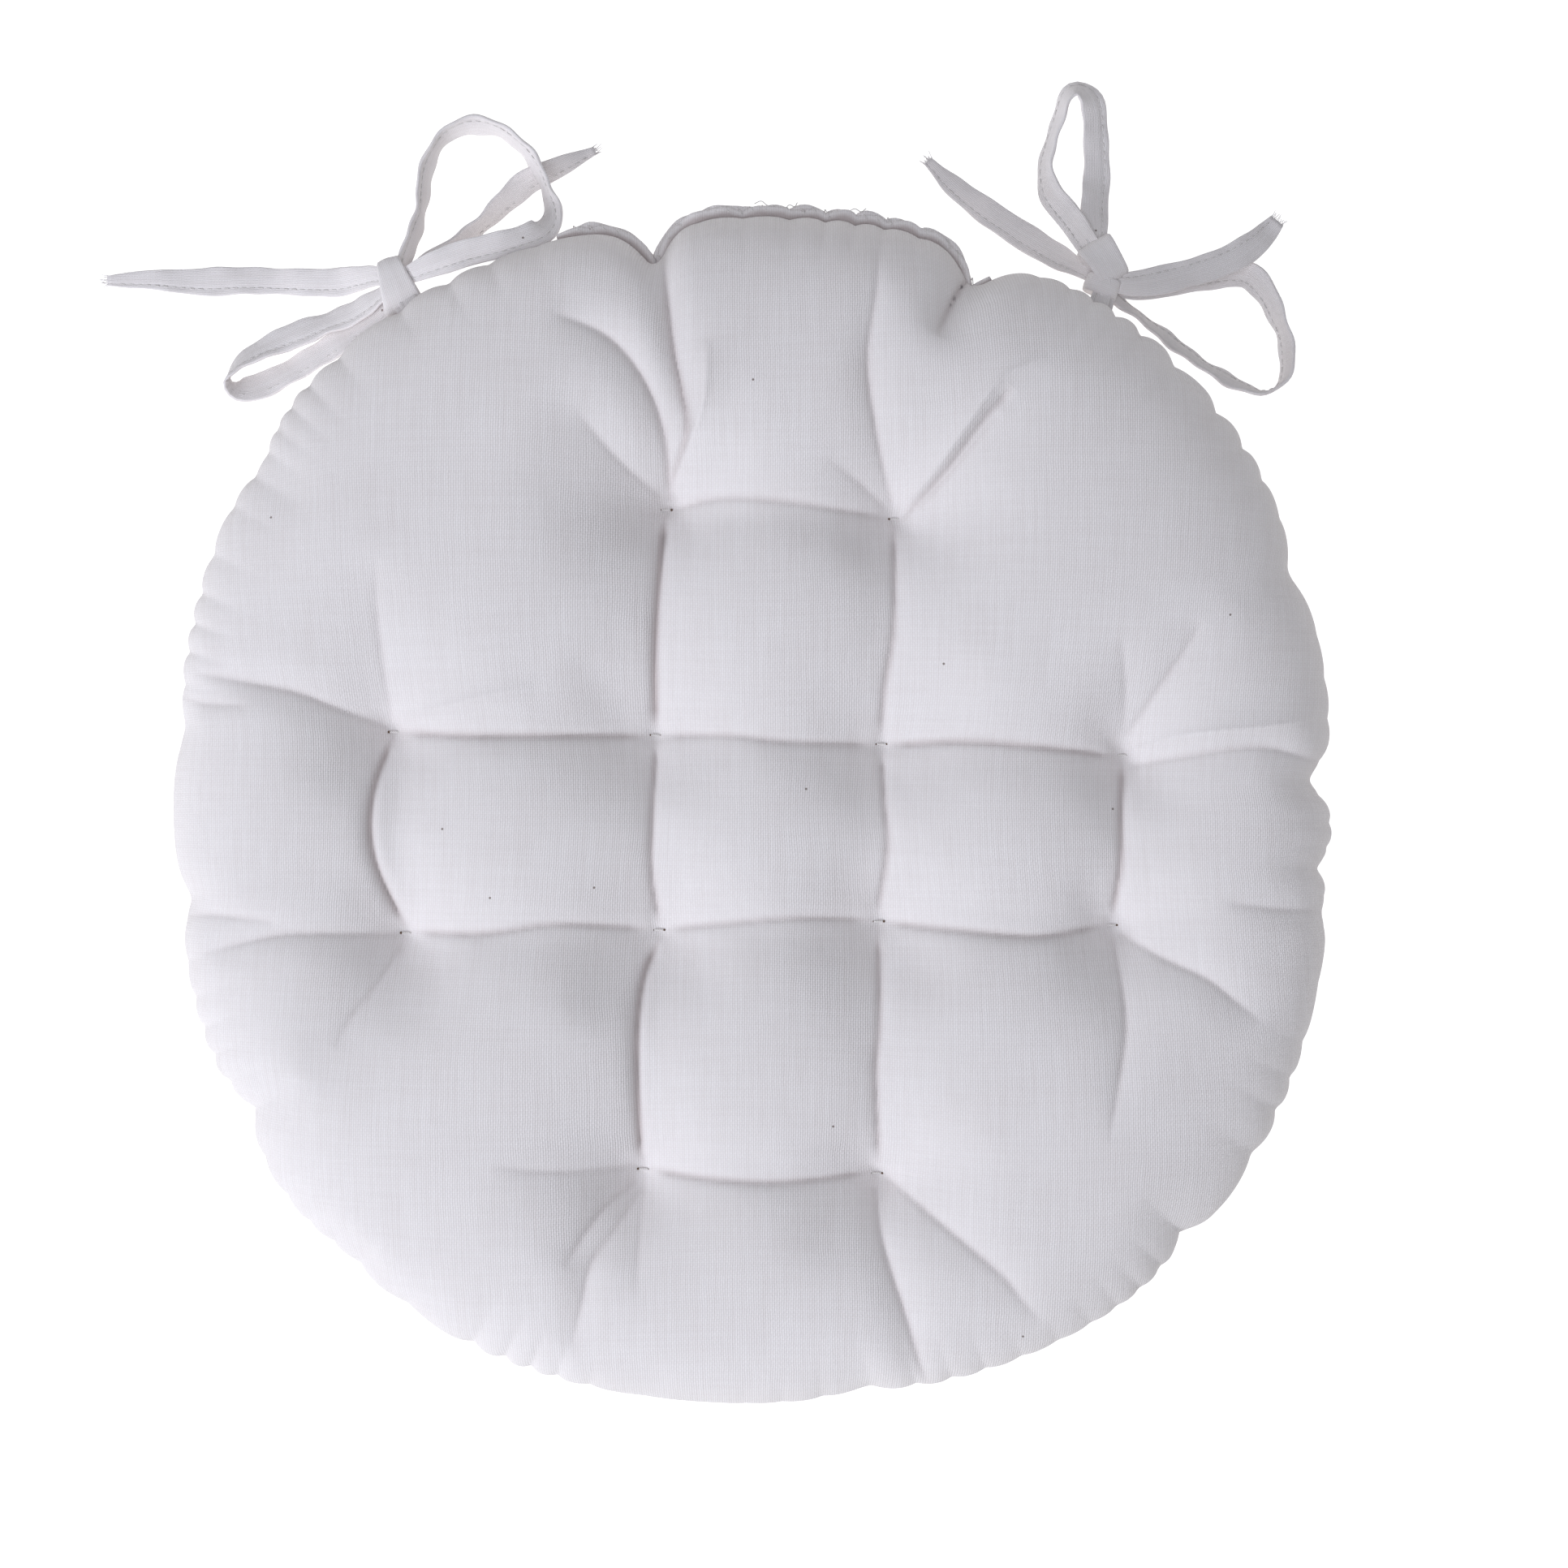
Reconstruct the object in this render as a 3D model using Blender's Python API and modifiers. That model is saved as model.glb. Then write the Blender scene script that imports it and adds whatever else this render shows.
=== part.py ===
"""Round tufted chair seat pad.

Two cotton canvas panels are sewn together at the rim over a fibre filling, and twelve tuft
stitches hold the panels to each other through it. At each back corner a doubled cotton tape is
caught in the seam and tied in a bow. Units are metres, +Z up, +Y towards the back of the seat.
The pad lies on a flat surface at Z = 0.
"""

import math

import bmesh
import bpy
from mathutils import Vector

# Overall sizes
PAD_RADIUS = 0.204
CORNER_FULLNESS = 0.006
SEAM_HEIGHT = 0.028
CROWN_RISE = 0.033
CROWN_SQUARENESS = 4.0

# Cloth, thread and running gaps
CLOTH = 0.0006
GAP = 0.0003
THREAD_RADIUS = 0.00035
SEAM_THREAD_RADIUS = 0.00025

# Rim seam
FOLD_RADIUS = 0.0012
SEAM_ALLOWANCE = 0.008

# Tufting: each tuft as fractions of the pad radius, row by row from the back
TUFTS = (
    (-0.145, 0.496), (0.233, 0.481),
    (-0.594, 0.129), (-0.162, 0.124), (0.211, 0.109), (0.609, 0.091),
    (-0.574, -0.203), (-0.157, -0.198), (0.206, -0.184), (0.591, -0.190),
    (-0.182, -0.593), (0.203, -0.600),
)
TUFT_HEIGHT = 0.007
TUFT_SPREAD = 0.017
TUFT_LANDING = 0.0038
TUFT_BAR = 0.003
NEEDLE_HOLE = 0.0014

# Creases that run from tuft to tuft, and from the outer tufts to the rim
CREASE_DEPTH = 0.34
CREASE_WIDTH = 0.011
CREASE_LINKS = (
    (0, 1), (2, 3), (3, 4), (4, 5), (6, 7), (7, 8), (8, 9), (10, 11),
    (0, 3), (1, 4), (2, 6), (3, 7), (4, 8), (5, 9), (7, 10), (8, 11),
)
OUTER_TUFTS = (0, 1, 2, 5, 6, 9, 10, 11)
OUTER_CREASE_DEPTH = 0.20

# Panel grid
GRID_STEP = 0.0204
GRID_CELLS = 2 * math.ceil(PAD_RADIUS / GRID_STEP - 0.001)
GRID_SQUARE = 0.81

# Hand-closed part of the seam at the back
CLOSING_FROM = math.radians(68)
CLOSING_TO = math.radians(107)
CLOSING_STITCH = 0.0032

# Ties
TIE_WIDTH = 0.0095
TIE_NECK_WIDTH = 0.0062
TIE_TIP_WIDTH = 0.0040
TIE_THICKNESS = 0.0012
TIE_STEP = 0.006
STEM_THICKNESS = 0.0016
KNOT_SIZE = Vector((0.0150, 0.0130, 0.0110))
KNOT_HEIGHT = 0.0190
KNOT_ROUNDING = 0.0030
TIE_ANGLE = math.radians(34.3)
HINGE_REACH = 0.0022
FLAT = math.radians(90)
ON_EDGE = 0.0
TIP = "tip"
KNOT = "knot"

# Knots: along the rim from the tie's root, and gap from the rim.
# Tie routes: the knot faces that the tape leaves from (along, outward), then from those faces its
# distance along the rim away from the back centre, outward, its height and the tape's tilt.
LEFT_KNOT = (-0.0010, 0.0017)
LEFT_ROUTES = {
    "tail_side": (KNOT, TIP, (0, 1), (
        (0.0030, 0.0009, 0.0180, FLAT), (0.0033, 0.0033, 0.0176, FLAT),
        (0.0080, 0.0088, 0.0125, FLAT), (0.0190, 0.0138, 0.0060, FLAT),
        (0.0320, 0.0198, 0.0020, FLAT),
        (0.0430, 0.0273, 0.0012, FLAT), (0.0570, 0.0363, 0.0012, FLAT),
        (0.0700, 0.0463, 0.0012, FLAT), (0.0830, 0.0543, 0.0012, FLAT),
    )),
    "tail_back": (KNOT, TIP, (-1, 0), (
        (-0.0006, 0.0018, 0.0160, FLAT), (-0.0055, 0.0016, 0.0110, FLAT),
        (-0.0145, 0.0013, 0.0050, FLAT), (-0.0245, 0.0028, 0.0016, FLAT),
        (-0.0355, 0.0048, 0.0012, FLAT), (-0.0485, 0.0068, 0.0012, FLAT),
        (-0.0595, 0.0053, 0.0012, FLAT), (-0.0745, 0.0028, 0.0012, FLAT),
    )),
    "loop_side": (KNOT, KNOT, (1, 0), (
        (0.0009, 0.0003, 0.0180, ON_EDGE), (0.0035, 0.0008, 0.0174, ON_EDGE),
        (0.0115, 0.0023, 0.0135, ON_EDGE), (0.0225, 0.0053, 0.0090, ON_EDGE),
        (0.0345, 0.0083, 0.0070, ON_EDGE),
        (0.0455, 0.0108, 0.0060, ON_EDGE), (0.0555, 0.0113, 0.0056, ON_EDGE),
        (0.0600, 0.0068, 0.0056, ON_EDGE), (0.0575, 0.0023, 0.0056, ON_EDGE),
        (0.0455, -0.0002, 0.0060, ON_EDGE), (0.0295, -0.0017, 0.0080, ON_EDGE),
        (0.0135, -0.0027, 0.0125, ON_EDGE), (0.0045, -0.0032, 0.0170, ON_EDGE),
        (0.0009, -0.0034, 0.0180, ON_EDGE),
    )),
    "loop_back": (KNOT, KNOT, (-1, 1), (
        (0.0035, 0.0009, 0.0180, ON_EDGE), (0.0027, 0.0028, 0.0176, ON_EDGE),
        (-0.0010, 0.0053, 0.0155, ON_EDGE),
        (-0.0095, 0.0103, 0.0110, ON_EDGE), (-0.0165, 0.0173, 0.0080, ON_EDGE),
        (-0.0235, 0.0243, 0.0062, ON_EDGE), (-0.0355, 0.0293, 0.0056, ON_EDGE),
        (-0.0455, 0.0263, 0.0060, ON_EDGE), (-0.0520, 0.0183, 0.0070, ON_EDGE),
        (-0.0545, 0.0073, 0.0084, ON_EDGE), (-0.0535, -0.0037, 0.0100, ON_EDGE),
        (-0.0505, -0.0127, 0.0120, ON_EDGE), (-0.0445, -0.0177, 0.0150, ON_EDGE),
        (-0.0365, -0.0167, 0.0180, ON_EDGE), (-0.0215, -0.0117, 0.0205, ON_EDGE),
        (-0.0095, -0.0092, 0.0208, ON_EDGE), (-0.0005, -0.0089, 0.0208, ON_EDGE),
    )),
}
RIGHT_KNOT = (-0.0050, 0.0027)
RIGHT_ROUTES = {
    "tail_side": (KNOT, TIP, (1, 0), (
        (0.0010, 0.0028, 0.0210, FLAT), (0.0035, 0.0032, 0.0206, FLAT),
        (0.0085, 0.0086, 0.0180, FLAT), (0.0155, 0.0168, 0.0140, FLAT),
        (0.0225, 0.0258, 0.0112, FLAT), (0.0275, 0.0338, 0.0092, FLAT),
        (0.0303, 0.0418, 0.0050, FLAT), (0.0317, 0.0488, 0.0018, FLAT),
        (0.0323, 0.0548, 0.0012, FLAT),
    )),
    "tail_back": (KNOT, TIP, (-1, 0), (
        (-0.0005, -0.0020, 0.0155, FLAT), (-0.0065, -0.0014, 0.0100, FLAT),
        (-0.0185, -0.0012, 0.0030, FLAT), (-0.0315, -0.0012, 0.0012, FLAT),
        (-0.0425, -0.0010, 0.0012, FLAT), (-0.0535, -0.0002, 0.0012, FLAT),
        (-0.0645, 0.0018, 0.0012, FLAT),
    )),
    "loop_side": (KNOT, KNOT, (1, 0), (
        (0.0009, -0.0042, 0.0170, ON_EDGE), (0.0033, -0.0039, 0.0164, ON_EDGE),
        (0.0085, -0.0034, 0.0140, ON_EDGE),
        (0.0165, -0.0032, 0.0105, ON_EDGE), (0.0295, -0.0032, 0.0072, ON_EDGE),
        (0.0425, -0.0034, 0.0060, ON_EDGE), (0.0535, -0.0022, 0.0056, ON_EDGE),
        (0.0615, 0.0003, 0.0056, ON_EDGE), (0.0650, 0.0058, 0.0056, ON_EDGE),
        (0.0635, 0.0118, 0.0056, ON_EDGE), (0.0585, 0.0188, 0.0056, ON_EDGE),
        (0.0505, 0.0248, 0.0056, ON_EDGE), (0.0425, 0.0293, 0.0050, 0.5),
        (0.0355, 0.0306, 0.0034, 1.1), (0.0290, 0.0280, 0.0018, FLAT),
        (0.0225, 0.0220, 0.0022, FLAT), (0.0150, 0.0138, 0.0052, FLAT),
        (0.0085, 0.0058, 0.0100, FLAT), (0.0037, 0.0018, 0.0140, FLAT),
        (0.0008, 0.0008, 0.0148, FLAT),
    )),
    "loop_back": (KNOT, KNOT, (-1, 1), (
        (-0.0009, -0.0022, 0.0180, ON_EDGE), (-0.0030, -0.0015, 0.0174, ON_EDGE),
        (-0.0065, 0.0008, 0.0155, ON_EDGE),
        (-0.0125, 0.0043, 0.0120, ON_EDGE), (-0.0215, 0.0078, 0.0080, ON_EDGE),
        (-0.0285, 0.0133, 0.0062, ON_EDGE), (-0.0325, 0.0213, 0.0056, ON_EDGE),
        (-0.0350, 0.0303, 0.0056, ON_EDGE), (-0.0370, 0.0383, 0.0056, ON_EDGE),
        (-0.0355, 0.0438, 0.0056, ON_EDGE), (-0.0300, 0.0443, 0.0056, ON_EDGE),
        (-0.0255, 0.0403, 0.0056, ON_EDGE), (-0.0205, 0.0343, 0.0056, ON_EDGE),
        (-0.0135, 0.0243, 0.0062, ON_EDGE), (-0.0065, 0.0133, 0.0100, ON_EDGE),
        (0.0005, 0.0073, 0.0150, ON_EDGE), (0.0040, 0.0033, 0.0175, ON_EDGE),
        (0.0045, 0.0009, 0.0180, ON_EDGE),
    )),
}

# Colours
CANVAS = (0.74, 0.71, 0.68, 1.0)
FIBRE = (0.90, 0.90, 0.89, 1.0)
THREAD = (0.70, 0.66, 0.61, 1.0)
TAPE = (0.76, 0.73, 0.70, 1.0)


def clear_scene():
    for old in list(bpy.data.objects):
        bpy.data.objects.remove(old, do_unlink=True)


def new_collection(name, hidden):
    collection = bpy.data.collections.new(name)
    collection.hide_render = hidden
    bpy.context.scene.collection.children.link(collection)
    return collection


def cloth_material(name, colour, roughness):
    material = bpy.data.materials.new(name)
    material.use_nodes = True
    shader = material.node_tree.nodes["Principled BSDF"]
    shader.inputs["Base Color"].default_value = colour
    shader.inputs["Roughness"].default_value = roughness
    shader.inputs["Sheen Weight"].default_value = 0.2
    return material


def canvas_material(name):
    return cloth_material(name + "_canvas", CANVAS, 0.9)


def fibre_material(name):
    return cloth_material(name + "_fibre", FIBRE, 1.0)


def thread_material(name):
    return cloth_material(name + "_cotton", THREAD, 0.8)


def tape_material(name):
    return cloth_material(name + "_tape", TAPE, 0.85)


def add_object(name, data, material, collection):
    obj = bpy.data.objects.new(name, data)
    data.materials.append(material)
    collection.objects.link(obj)
    return obj


def outline_radius(angle):
    """Rim radius at this angle from +X: fuller at the four corners than on the axes."""
    return PAD_RADIUS - CORNER_FULLNESS * math.cos(4 * angle)


def tuft_points():
    return [Vector((x, y)) * PAD_RADIUS for x, y in TUFTS]


def grid_plan(u, v):
    """Plan position of a grid point: square in the middle, following the outline at the rim."""
    ring = max(abs(u), abs(v))
    if ring == 0:
        return Vector((0, 0))
    angle = math.atan2(v, u)
    reach = outline_radius(angle) * math.sin(ring * math.pi / 2)
    round_point = Vector((math.cos(angle), math.sin(angle))) * reach
    square_point = Vector((u, v)) * GRID_SQUARE * PAD_RADIUS
    return square_point.lerp(round_point, ring**3)


def distance_to_line(point, start, end):
    """Distance to the stretch from start to end, and how far along it the nearest place is."""
    along = end - start
    place = max(0.0, min(1.0, (point - start).dot(along) / along.length_squared))
    return (point - start - along * place).length, place


def crease_factor(point, tufts):
    """How much of the crown's rise the creases leave at a plan position."""
    deepest = 0.0
    for first, second in CREASE_LINKS:
        away, _ = distance_to_line(point, tufts[first], tufts[second])
        deepest = max(deepest, CREASE_DEPTH * math.exp(-((away / CREASE_WIDTH) ** 2)))
    for index in OUTER_TUFTS:
        start = tufts[index]
        end = start.normalized() * PAD_RADIUS
        away, place = distance_to_line(point, start, end)
        fade = OUTER_CREASE_DEPTH * (1 - place)
        deepest = max(deepest, fade * math.exp(-((away / CREASE_WIDTH) ** 2)))
    return 1 - deepest


def panel_rise(point, tufts):
    """Distance from the seam plane to a panel's outer face at a plan position."""
    angle = math.atan2(point.y, point.x)
    share = min(1.0, point.length / outline_radius(angle))
    crown = FOLD_RADIUS + CROWN_RISE * math.sqrt(1 - share**CROWN_SQUARENESS)
    if crown <= TUFT_HEIGHT:
        return crown
    nearest = min((point - tuft).length for tuft in tufts)
    pull = math.exp(-max(0.0, nearest - TUFT_LANDING) / TUFT_SPREAD)
    return TUFT_HEIGHT + (crown - TUFT_HEIGHT) * (1 - pull) * crease_factor(point, tufts)


def panel_surface(side):
    """Open quilted surface of one panel, side +1 for the top and -1 for the underside."""
    surface = bmesh.new()
    bmesh.ops.create_grid(surface, x_segments=GRID_CELLS, y_segments=GRID_CELLS, size=1.0)
    for vert in surface.verts:
        plan = grid_plan(vert.co.x, vert.co.y)
        vert.co = (plan.x, plan.y, 0)
    tufts = tuft_points()
    at_tufts = []
    for tuft in tufts:
        nearest = min(surface.verts, key=lambda vert: (vert.co.xy - tuft).length)
        nearest.co = (tuft.x, tuft.y, 0)
        at_tufts.append(nearest)
    bmesh.ops.bevel(
        surface, geom=at_tufts, offset=TUFT_LANDING, offset_type="OFFSET", segments=1,
        profile=0.5, affect="VERTICES", material=-1,
    )
    for vert in surface.verts:
        rise = panel_rise(vert.co.xy, tufts)
        vert.co.z = max(0.0, SEAM_HEIGHT + side * rise)
    bmesh.ops.triangulate(surface, faces=surface.faces[:], quad_method="BEAUTY")
    if side < 0:
        bmesh.ops.reverse_faces(surface, faces=surface.faces[:])
    return surface


def open_edges(surface):
    return [edge for edge in surface.edges if edge.is_boundary]


def extend_rim(surface, inset, height):
    """Adds a ring of faces from the open edge to this inset from the rim, at this height."""
    made = bmesh.ops.extrude_edge_only(surface, edges=open_edges(surface))
    for vert in [item for item in made["geom"] if isinstance(item, bmesh.types.BMVert)]:
        angle = math.atan2(vert.co.y, vert.co.x)
        reach = outline_radius(angle) - inset
        vert.co = (reach * math.cos(angle), reach * math.sin(angle), height)


def mesh_of(surface, name):
    mesh = bpy.data.meshes.new(name)
    surface.to_mesh(mesh)
    surface.free()
    return mesh


def subtract(obj, cutter):
    obj.modifiers.new("flat_faces", "TRIANGULATE")
    cut = obj.modifiers.new("stitch_holes", "BOOLEAN")
    cut.operation = "DIFFERENCE"
    cut.solver = "EXACT"
    cut.object = cutter


def cover(name, side, cutter, collection):
    """One panel: quilted face, rounded fold at the rim and seam allowance turned inside."""
    surface = panel_surface(side)
    extend_rim(surface, FOLD_RADIUS * 0.3, SEAM_HEIGHT + side * FOLD_RADIUS * 0.42)
    extend_rim(surface, FOLD_RADIUS, SEAM_HEIGHT + side * GAP / 2)
    extend_rim(surface, SEAM_ALLOWANCE, SEAM_HEIGHT + side * GAP / 2)
    obj = add_object(name, mesh_of(surface, name), canvas_material(name), collection)
    sheet = obj.modifiers.new("cloth", "SOLIDIFY")
    sheet.thickness = CLOTH
    sheet.offset = -1
    sheet.use_even_offset = True
    subtract(obj, cutter)
    return obj


def filling(name, cutter, collection):
    """Fibre body just inside both covers, with a groove at the rim for the seam allowances."""
    body = bmesh.new()
    inset = SEAM_ALLOWANCE + FOLD_RADIUS
    for side in (1, -1):
        surface = panel_surface(side)
        extend_rim(surface, inset, SEAM_HEIGHT + side * FOLD_RADIUS)
        half = mesh_of(surface, name + "_half")
        body.from_mesh(half)
        bpy.data.meshes.remove(half)
    bmesh.ops.bridge_loops(body, edges=open_edges(body))
    bmesh.ops.recalc_face_normals(body, faces=body.faces[:])
    if body.calc_volume(signed=True) < 0:
        bmesh.ops.reverse_faces(body, faces=body.faces[:])
    body.normal_update()
    shrink = CLOTH + 2 * GAP
    moves = [vert.normal * vert.calc_shell_factor() * shrink for vert in body.verts]
    for vert, move in zip(body.verts[:], moves):
        vert.co -= move
    obj = add_object(name, mesh_of(body, name), fibre_material(name), collection)
    subtract(obj, cutter)
    return obj


def prism_cutters(name, places, size_x, size_y, collection):
    """Upright square-sided cutters through the whole pad, one at each place."""
    tall = 4 * (SEAM_HEIGHT + CROWN_RISE)
    shape = bmesh.new()
    for place in places:
        made = bmesh.ops.create_cube(shape, size=1.0)
        for vert in made["verts"]:
            vert.co.x = vert.co.x * size_x + place.x
            vert.co.y = vert.co.y * size_y + place.y
            vert.co.z = vert.co.z * tall + SEAM_HEIGHT
    cutter = bpy.data.objects.new(name, mesh_of(shape, name))
    cutter.display_type = "WIRE"
    cutter.hide_render = True
    collection.objects.link(cutter)
    return cutter


def needle_places():
    offset = Vector((TUFT_BAR / 2, 0))
    return [tuft + shift for tuft in tuft_points() for shift in (offset, -offset)]


def thread_curve(name, points, radius, closed):
    curve = bpy.data.curves.new(name, "CURVE")
    curve.dimensions = "3D"
    curve.bevel_depth = radius
    curve.bevel_resolution = 1
    curve.use_fill_caps = not closed
    spline = curve.splines.new("POLY")
    spline.points.add(len(points) - 1)
    for point, place in zip(spline.points, points):
        point.co = (*place, 1)
    spline.use_cyclic_u = closed
    return curve


def seam_thread(name, collection):
    """Thread ring in the groove between the two folded rims, one point per panel grid edge."""
    steps = [2 * index / GRID_CELLS - 1 for index in range(GRID_CELLS)]
    border = [(step, -1) for step in steps]
    border += [(1, step) for step in steps]
    border += [(-step, 1) for step in steps]
    border += [(-1, -step) for step in steps]
    angles = [math.atan2(v, u) for u, v in border]
    points = []
    for angle in angles:
        reach = outline_radius(angle) - SEAM_THREAD_RADIUS
        points.append((reach * math.cos(angle), reach * math.sin(angle), SEAM_HEIGHT))
    curve = thread_curve(name, points, SEAM_THREAD_RADIUS, True)
    curve.bevel_resolution = 0
    return add_object(name, curve, thread_material(name), collection)


def closing_stitches(name, collection):
    """Overcast thread that closes the filling opening, zigzag over the outside of the rim."""
    length = (CLOSING_TO - CLOSING_FROM) * PAD_RADIUS
    count = round(length / CLOSING_STITCH)
    clear = SEAM_THREAD_RADIUS + 2 * GAP
    points = []
    for index in range(count + 1):
        angle = CLOSING_FROM + (CLOSING_TO - CLOSING_FROM) * index / count
        reach = outline_radius(angle) + clear
        height = SEAM_HEIGHT + FOLD_RADIUS * (1 if index % 2 else -1)
        points.append((reach * math.cos(angle), reach * math.sin(angle), height))
    curve = thread_curve(name, points, SEAM_THREAD_RADIUS, False)
    curve.bevel_resolution = 0
    return add_object(name, curve, thread_material(name), collection)


def tuft_stitch(name, place, collection):
    """Closed thread loop through two needle holes, with a short bar on each face of the pad."""
    half = TUFT_BAR / 2
    high = TUFT_HEIGHT + GAP + THREAD_RADIUS
    corner = THREAD_RADIUS
    profile = [
        (half, high - corner), (half - corner, high), (-half + corner, high),
        (-half, high - corner), (-half, -high + corner), (-half + corner, -high),
        (half - corner, -high), (half, -high + corner),
    ]
    points = [(place.x + x, place.y, SEAM_HEIGHT + z) for x, z in profile]
    curve = thread_curve(name, points, THREAD_RADIUS, True)
    return add_object(name, curve, thread_material(name), collection)


def smooth_route(stops, step):
    """Even points along a Catmull-Rom curve through the stops, any number of values each."""
    ends = [2 * stops[0] - stops[1], *stops, 2 * stops[-1] - stops[-2]]
    fine = []
    for index in range(1, len(ends) - 2):
        before, start, end, after = ends[index - 1 : index + 3]
        for part in range(8):
            t = part / 8
            fine.append(0.5 * (
                2 * start + (end - before) * t
                + (2 * before - 5 * start + 4 * end - after) * t**2
                + (3 * start - before - 3 * end + after) * t**3
            ))
    fine.append(stops[-1])
    lengths = [0.0]
    for start, end in zip(fine, fine[1:]):
        lengths.append(lengths[-1] + (end - start).xyz.length)
    count = max(2, round(lengths[-1] / step))
    even = []
    for index in range(count + 1):
        wanted = lengths[-1] * index / count
        upper = next(i for i, length in enumerate(lengths) if length >= wanted - 1e-12)
        lower = max(0, upper - 1)
        span = lengths[upper] - lengths[lower]
        share = (wanted - lengths[lower]) / span if span else 0.0
        even.append(fine[lower].lerp(fine[upper], share))
    return even


def tie_strip(name, knot, route, place_of, collection):
    """Flat folded tape along a route, narrowed where it enters the knot and at its cut tip."""
    start_kind, end_kind, leaves, stops = route
    face = Vector((knot[0] + leaves[0] * KNOT_SIZE.x / 2, knot[1] + leaves[1] * KNOT_SIZE.y / 2, 0, 0))
    points = smooth_route([face + Vector(stop) for stop in stops], TIE_STEP)
    narrow = {KNOT: TIE_NECK_WIDTH, TIP: TIE_TIP_WIDTH}
    curve = bpy.data.curves.new(name, "CURVE")
    curve.dimensions = "3D"
    curve.twist_mode = "Z_UP"
    curve.bevel_depth = TIE_THICKNESS / 2
    curve.extrude = (TIE_WIDTH - TIE_THICKNESS) / 2
    curve.bevel_resolution = 0
    curve.use_fill_caps = True
    spline = curve.splines.new("POLY")
    spline.points.add(len(points) - 1)
    last = len(points) - 1
    for index, (point, stop) in enumerate(zip(spline.points, points)):
        point.co = (*place_of(stop.x, stop.y, stop.z), 1)
        point.tilt = stop.w
        start_width = narrow[start_kind] + (TIE_WIDTH - narrow[start_kind]) * index / 3
        end_width = narrow[end_kind] + (TIE_WIDTH - narrow[end_kind]) * (last - index) / 3
        point.radius = min(TIE_WIDTH, start_width, end_width) / TIE_WIDTH
    return add_object(name, curve, tape_material(name), collection)


def tie_stem(name, knot, place_of, collection):
    """Short doubled tape from the seam to the top of the knot."""
    top = KNOT_HEIGHT + KNOT_SIZE.z / 2
    half = STEM_THICKNESS / 2
    stops = (
        (0.0, 2 * GAP, SEAM_HEIGHT + GAP),
        (0.0, 2 * GAP + STEM_THICKNESS, SEAM_HEIGHT + GAP),
        (knot[0], knot[1], top + GAP + half),
    )
    curve = bpy.data.curves.new(name, "CURVE")
    curve.dimensions = "3D"
    curve.twist_mode = "Z_UP"
    curve.bevel_depth = half
    curve.extrude = (TIE_NECK_WIDTH - STEM_THICKNESS) / 2
    curve.bevel_resolution = 0
    curve.use_fill_caps = True
    spline = curve.splines.new("POLY")
    spline.points.add(len(stops) - 1)
    for point, stop in zip(spline.points, stops):
        point.co = (*place_of(*stop), 1)
        point.tilt = FLAT
    return add_object(name, curve, tape_material(name), collection)


def tie_knot(name, knot, place_of, turn, collection):
    """Rounded body of the tied tape beside the rim."""
    shape = bmesh.new()
    bmesh.ops.create_cube(shape, size=1.0)
    for vert in shape.verts:
        vert.co = Vector([value * size for value, size in zip(vert.co, KNOT_SIZE)])
    bmesh.ops.bevel(
        shape, geom=shape.edges[:], offset=KNOT_ROUNDING, segments=2, profile=0.5,
        affect="EDGES", material=-1,
    )
    centre = place_of(knot[0], knot[1], KNOT_HEIGHT)
    bmesh.ops.rotate(shape, verts=shape.verts, matrix=turn, cent=(0, 0, 0))
    bmesh.ops.translate(shape, verts=shape.verts, vec=centre)
    return add_object(name, mesh_of(shape, name), tape_material(name), collection)


def tie_bow(side_name, sign, knot, routes, collection):
    """A bow at one back corner, sign -1 on the left and +1 on the right."""
    angle = math.radians(90) - sign * TIE_ANGLE
    outward = Vector((math.cos(angle), math.sin(angle), 0))
    along = Vector((sign * math.sin(angle), -sign * math.cos(angle), 0))
    root = outward * outline_radius(angle)
    turn = Vector((1, 0, 0)).rotation_difference(along).to_matrix()

    def place_of(along_rim, out, height):
        return root + along * along_rim + outward * out + Vector((0, 0, height))

    knot = (knot[0], knot[1] + KNOT_SIZE.y / 2)
    hinge = bpy.data.objects.new(side_name + "_tie_hinge", None)
    hinge.location = outward * (outline_radius(angle) + HINGE_REACH)
    hinge.location.z = SEAM_HEIGHT
    collection.objects.link(hinge)
    parts = [
        tie_stem(side_name + "_tie_stem", knot, place_of, collection),
        tie_knot(side_name + "_tie_knot", knot, place_of, turn, collection),
    ]
    for part_name, route in routes.items():
        parts.append(tie_strip(side_name + "_tie_" + part_name, knot, route, place_of, collection))
    for part in parts:
        part.parent = hinge
        part.matrix_parent_inverse.translation = -hinge.location


def build():
    clear_scene()
    parts = new_collection("chair_seat_pad", False)
    cutters = new_collection("cutters", True)
    holes = prism_cutters("needle_holes", needle_places(), NEEDLE_HOLE, NEEDLE_HOLE, cutters)
    slot = TUFT_BAR + NEEDLE_HOLE
    channels = prism_cutters("thread_channels", tuft_points(), slot, NEEDLE_HOLE, cutters)
    cover("top_cover", 1, holes, parts)
    cover("bottom_cover", -1, holes, parts)
    filling("filling", channels, parts)
    seam_thread("seam_thread", parts)
    closing_stitches("closing_stitches", parts)
    for number, place in enumerate(tuft_points(), start=1):
        tuft_stitch(f"tuft_{number:02d}", place, parts)
    tie_bow("left", -1, LEFT_KNOT, LEFT_ROUTES, parts)
    tie_bow("right", 1, RIGHT_KNOT, RIGHT_ROUTES, parts)


build()
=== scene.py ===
import math
import random

import bmesh
import bpy
import numpy as np
from mathutils import Matrix, Vector


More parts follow.
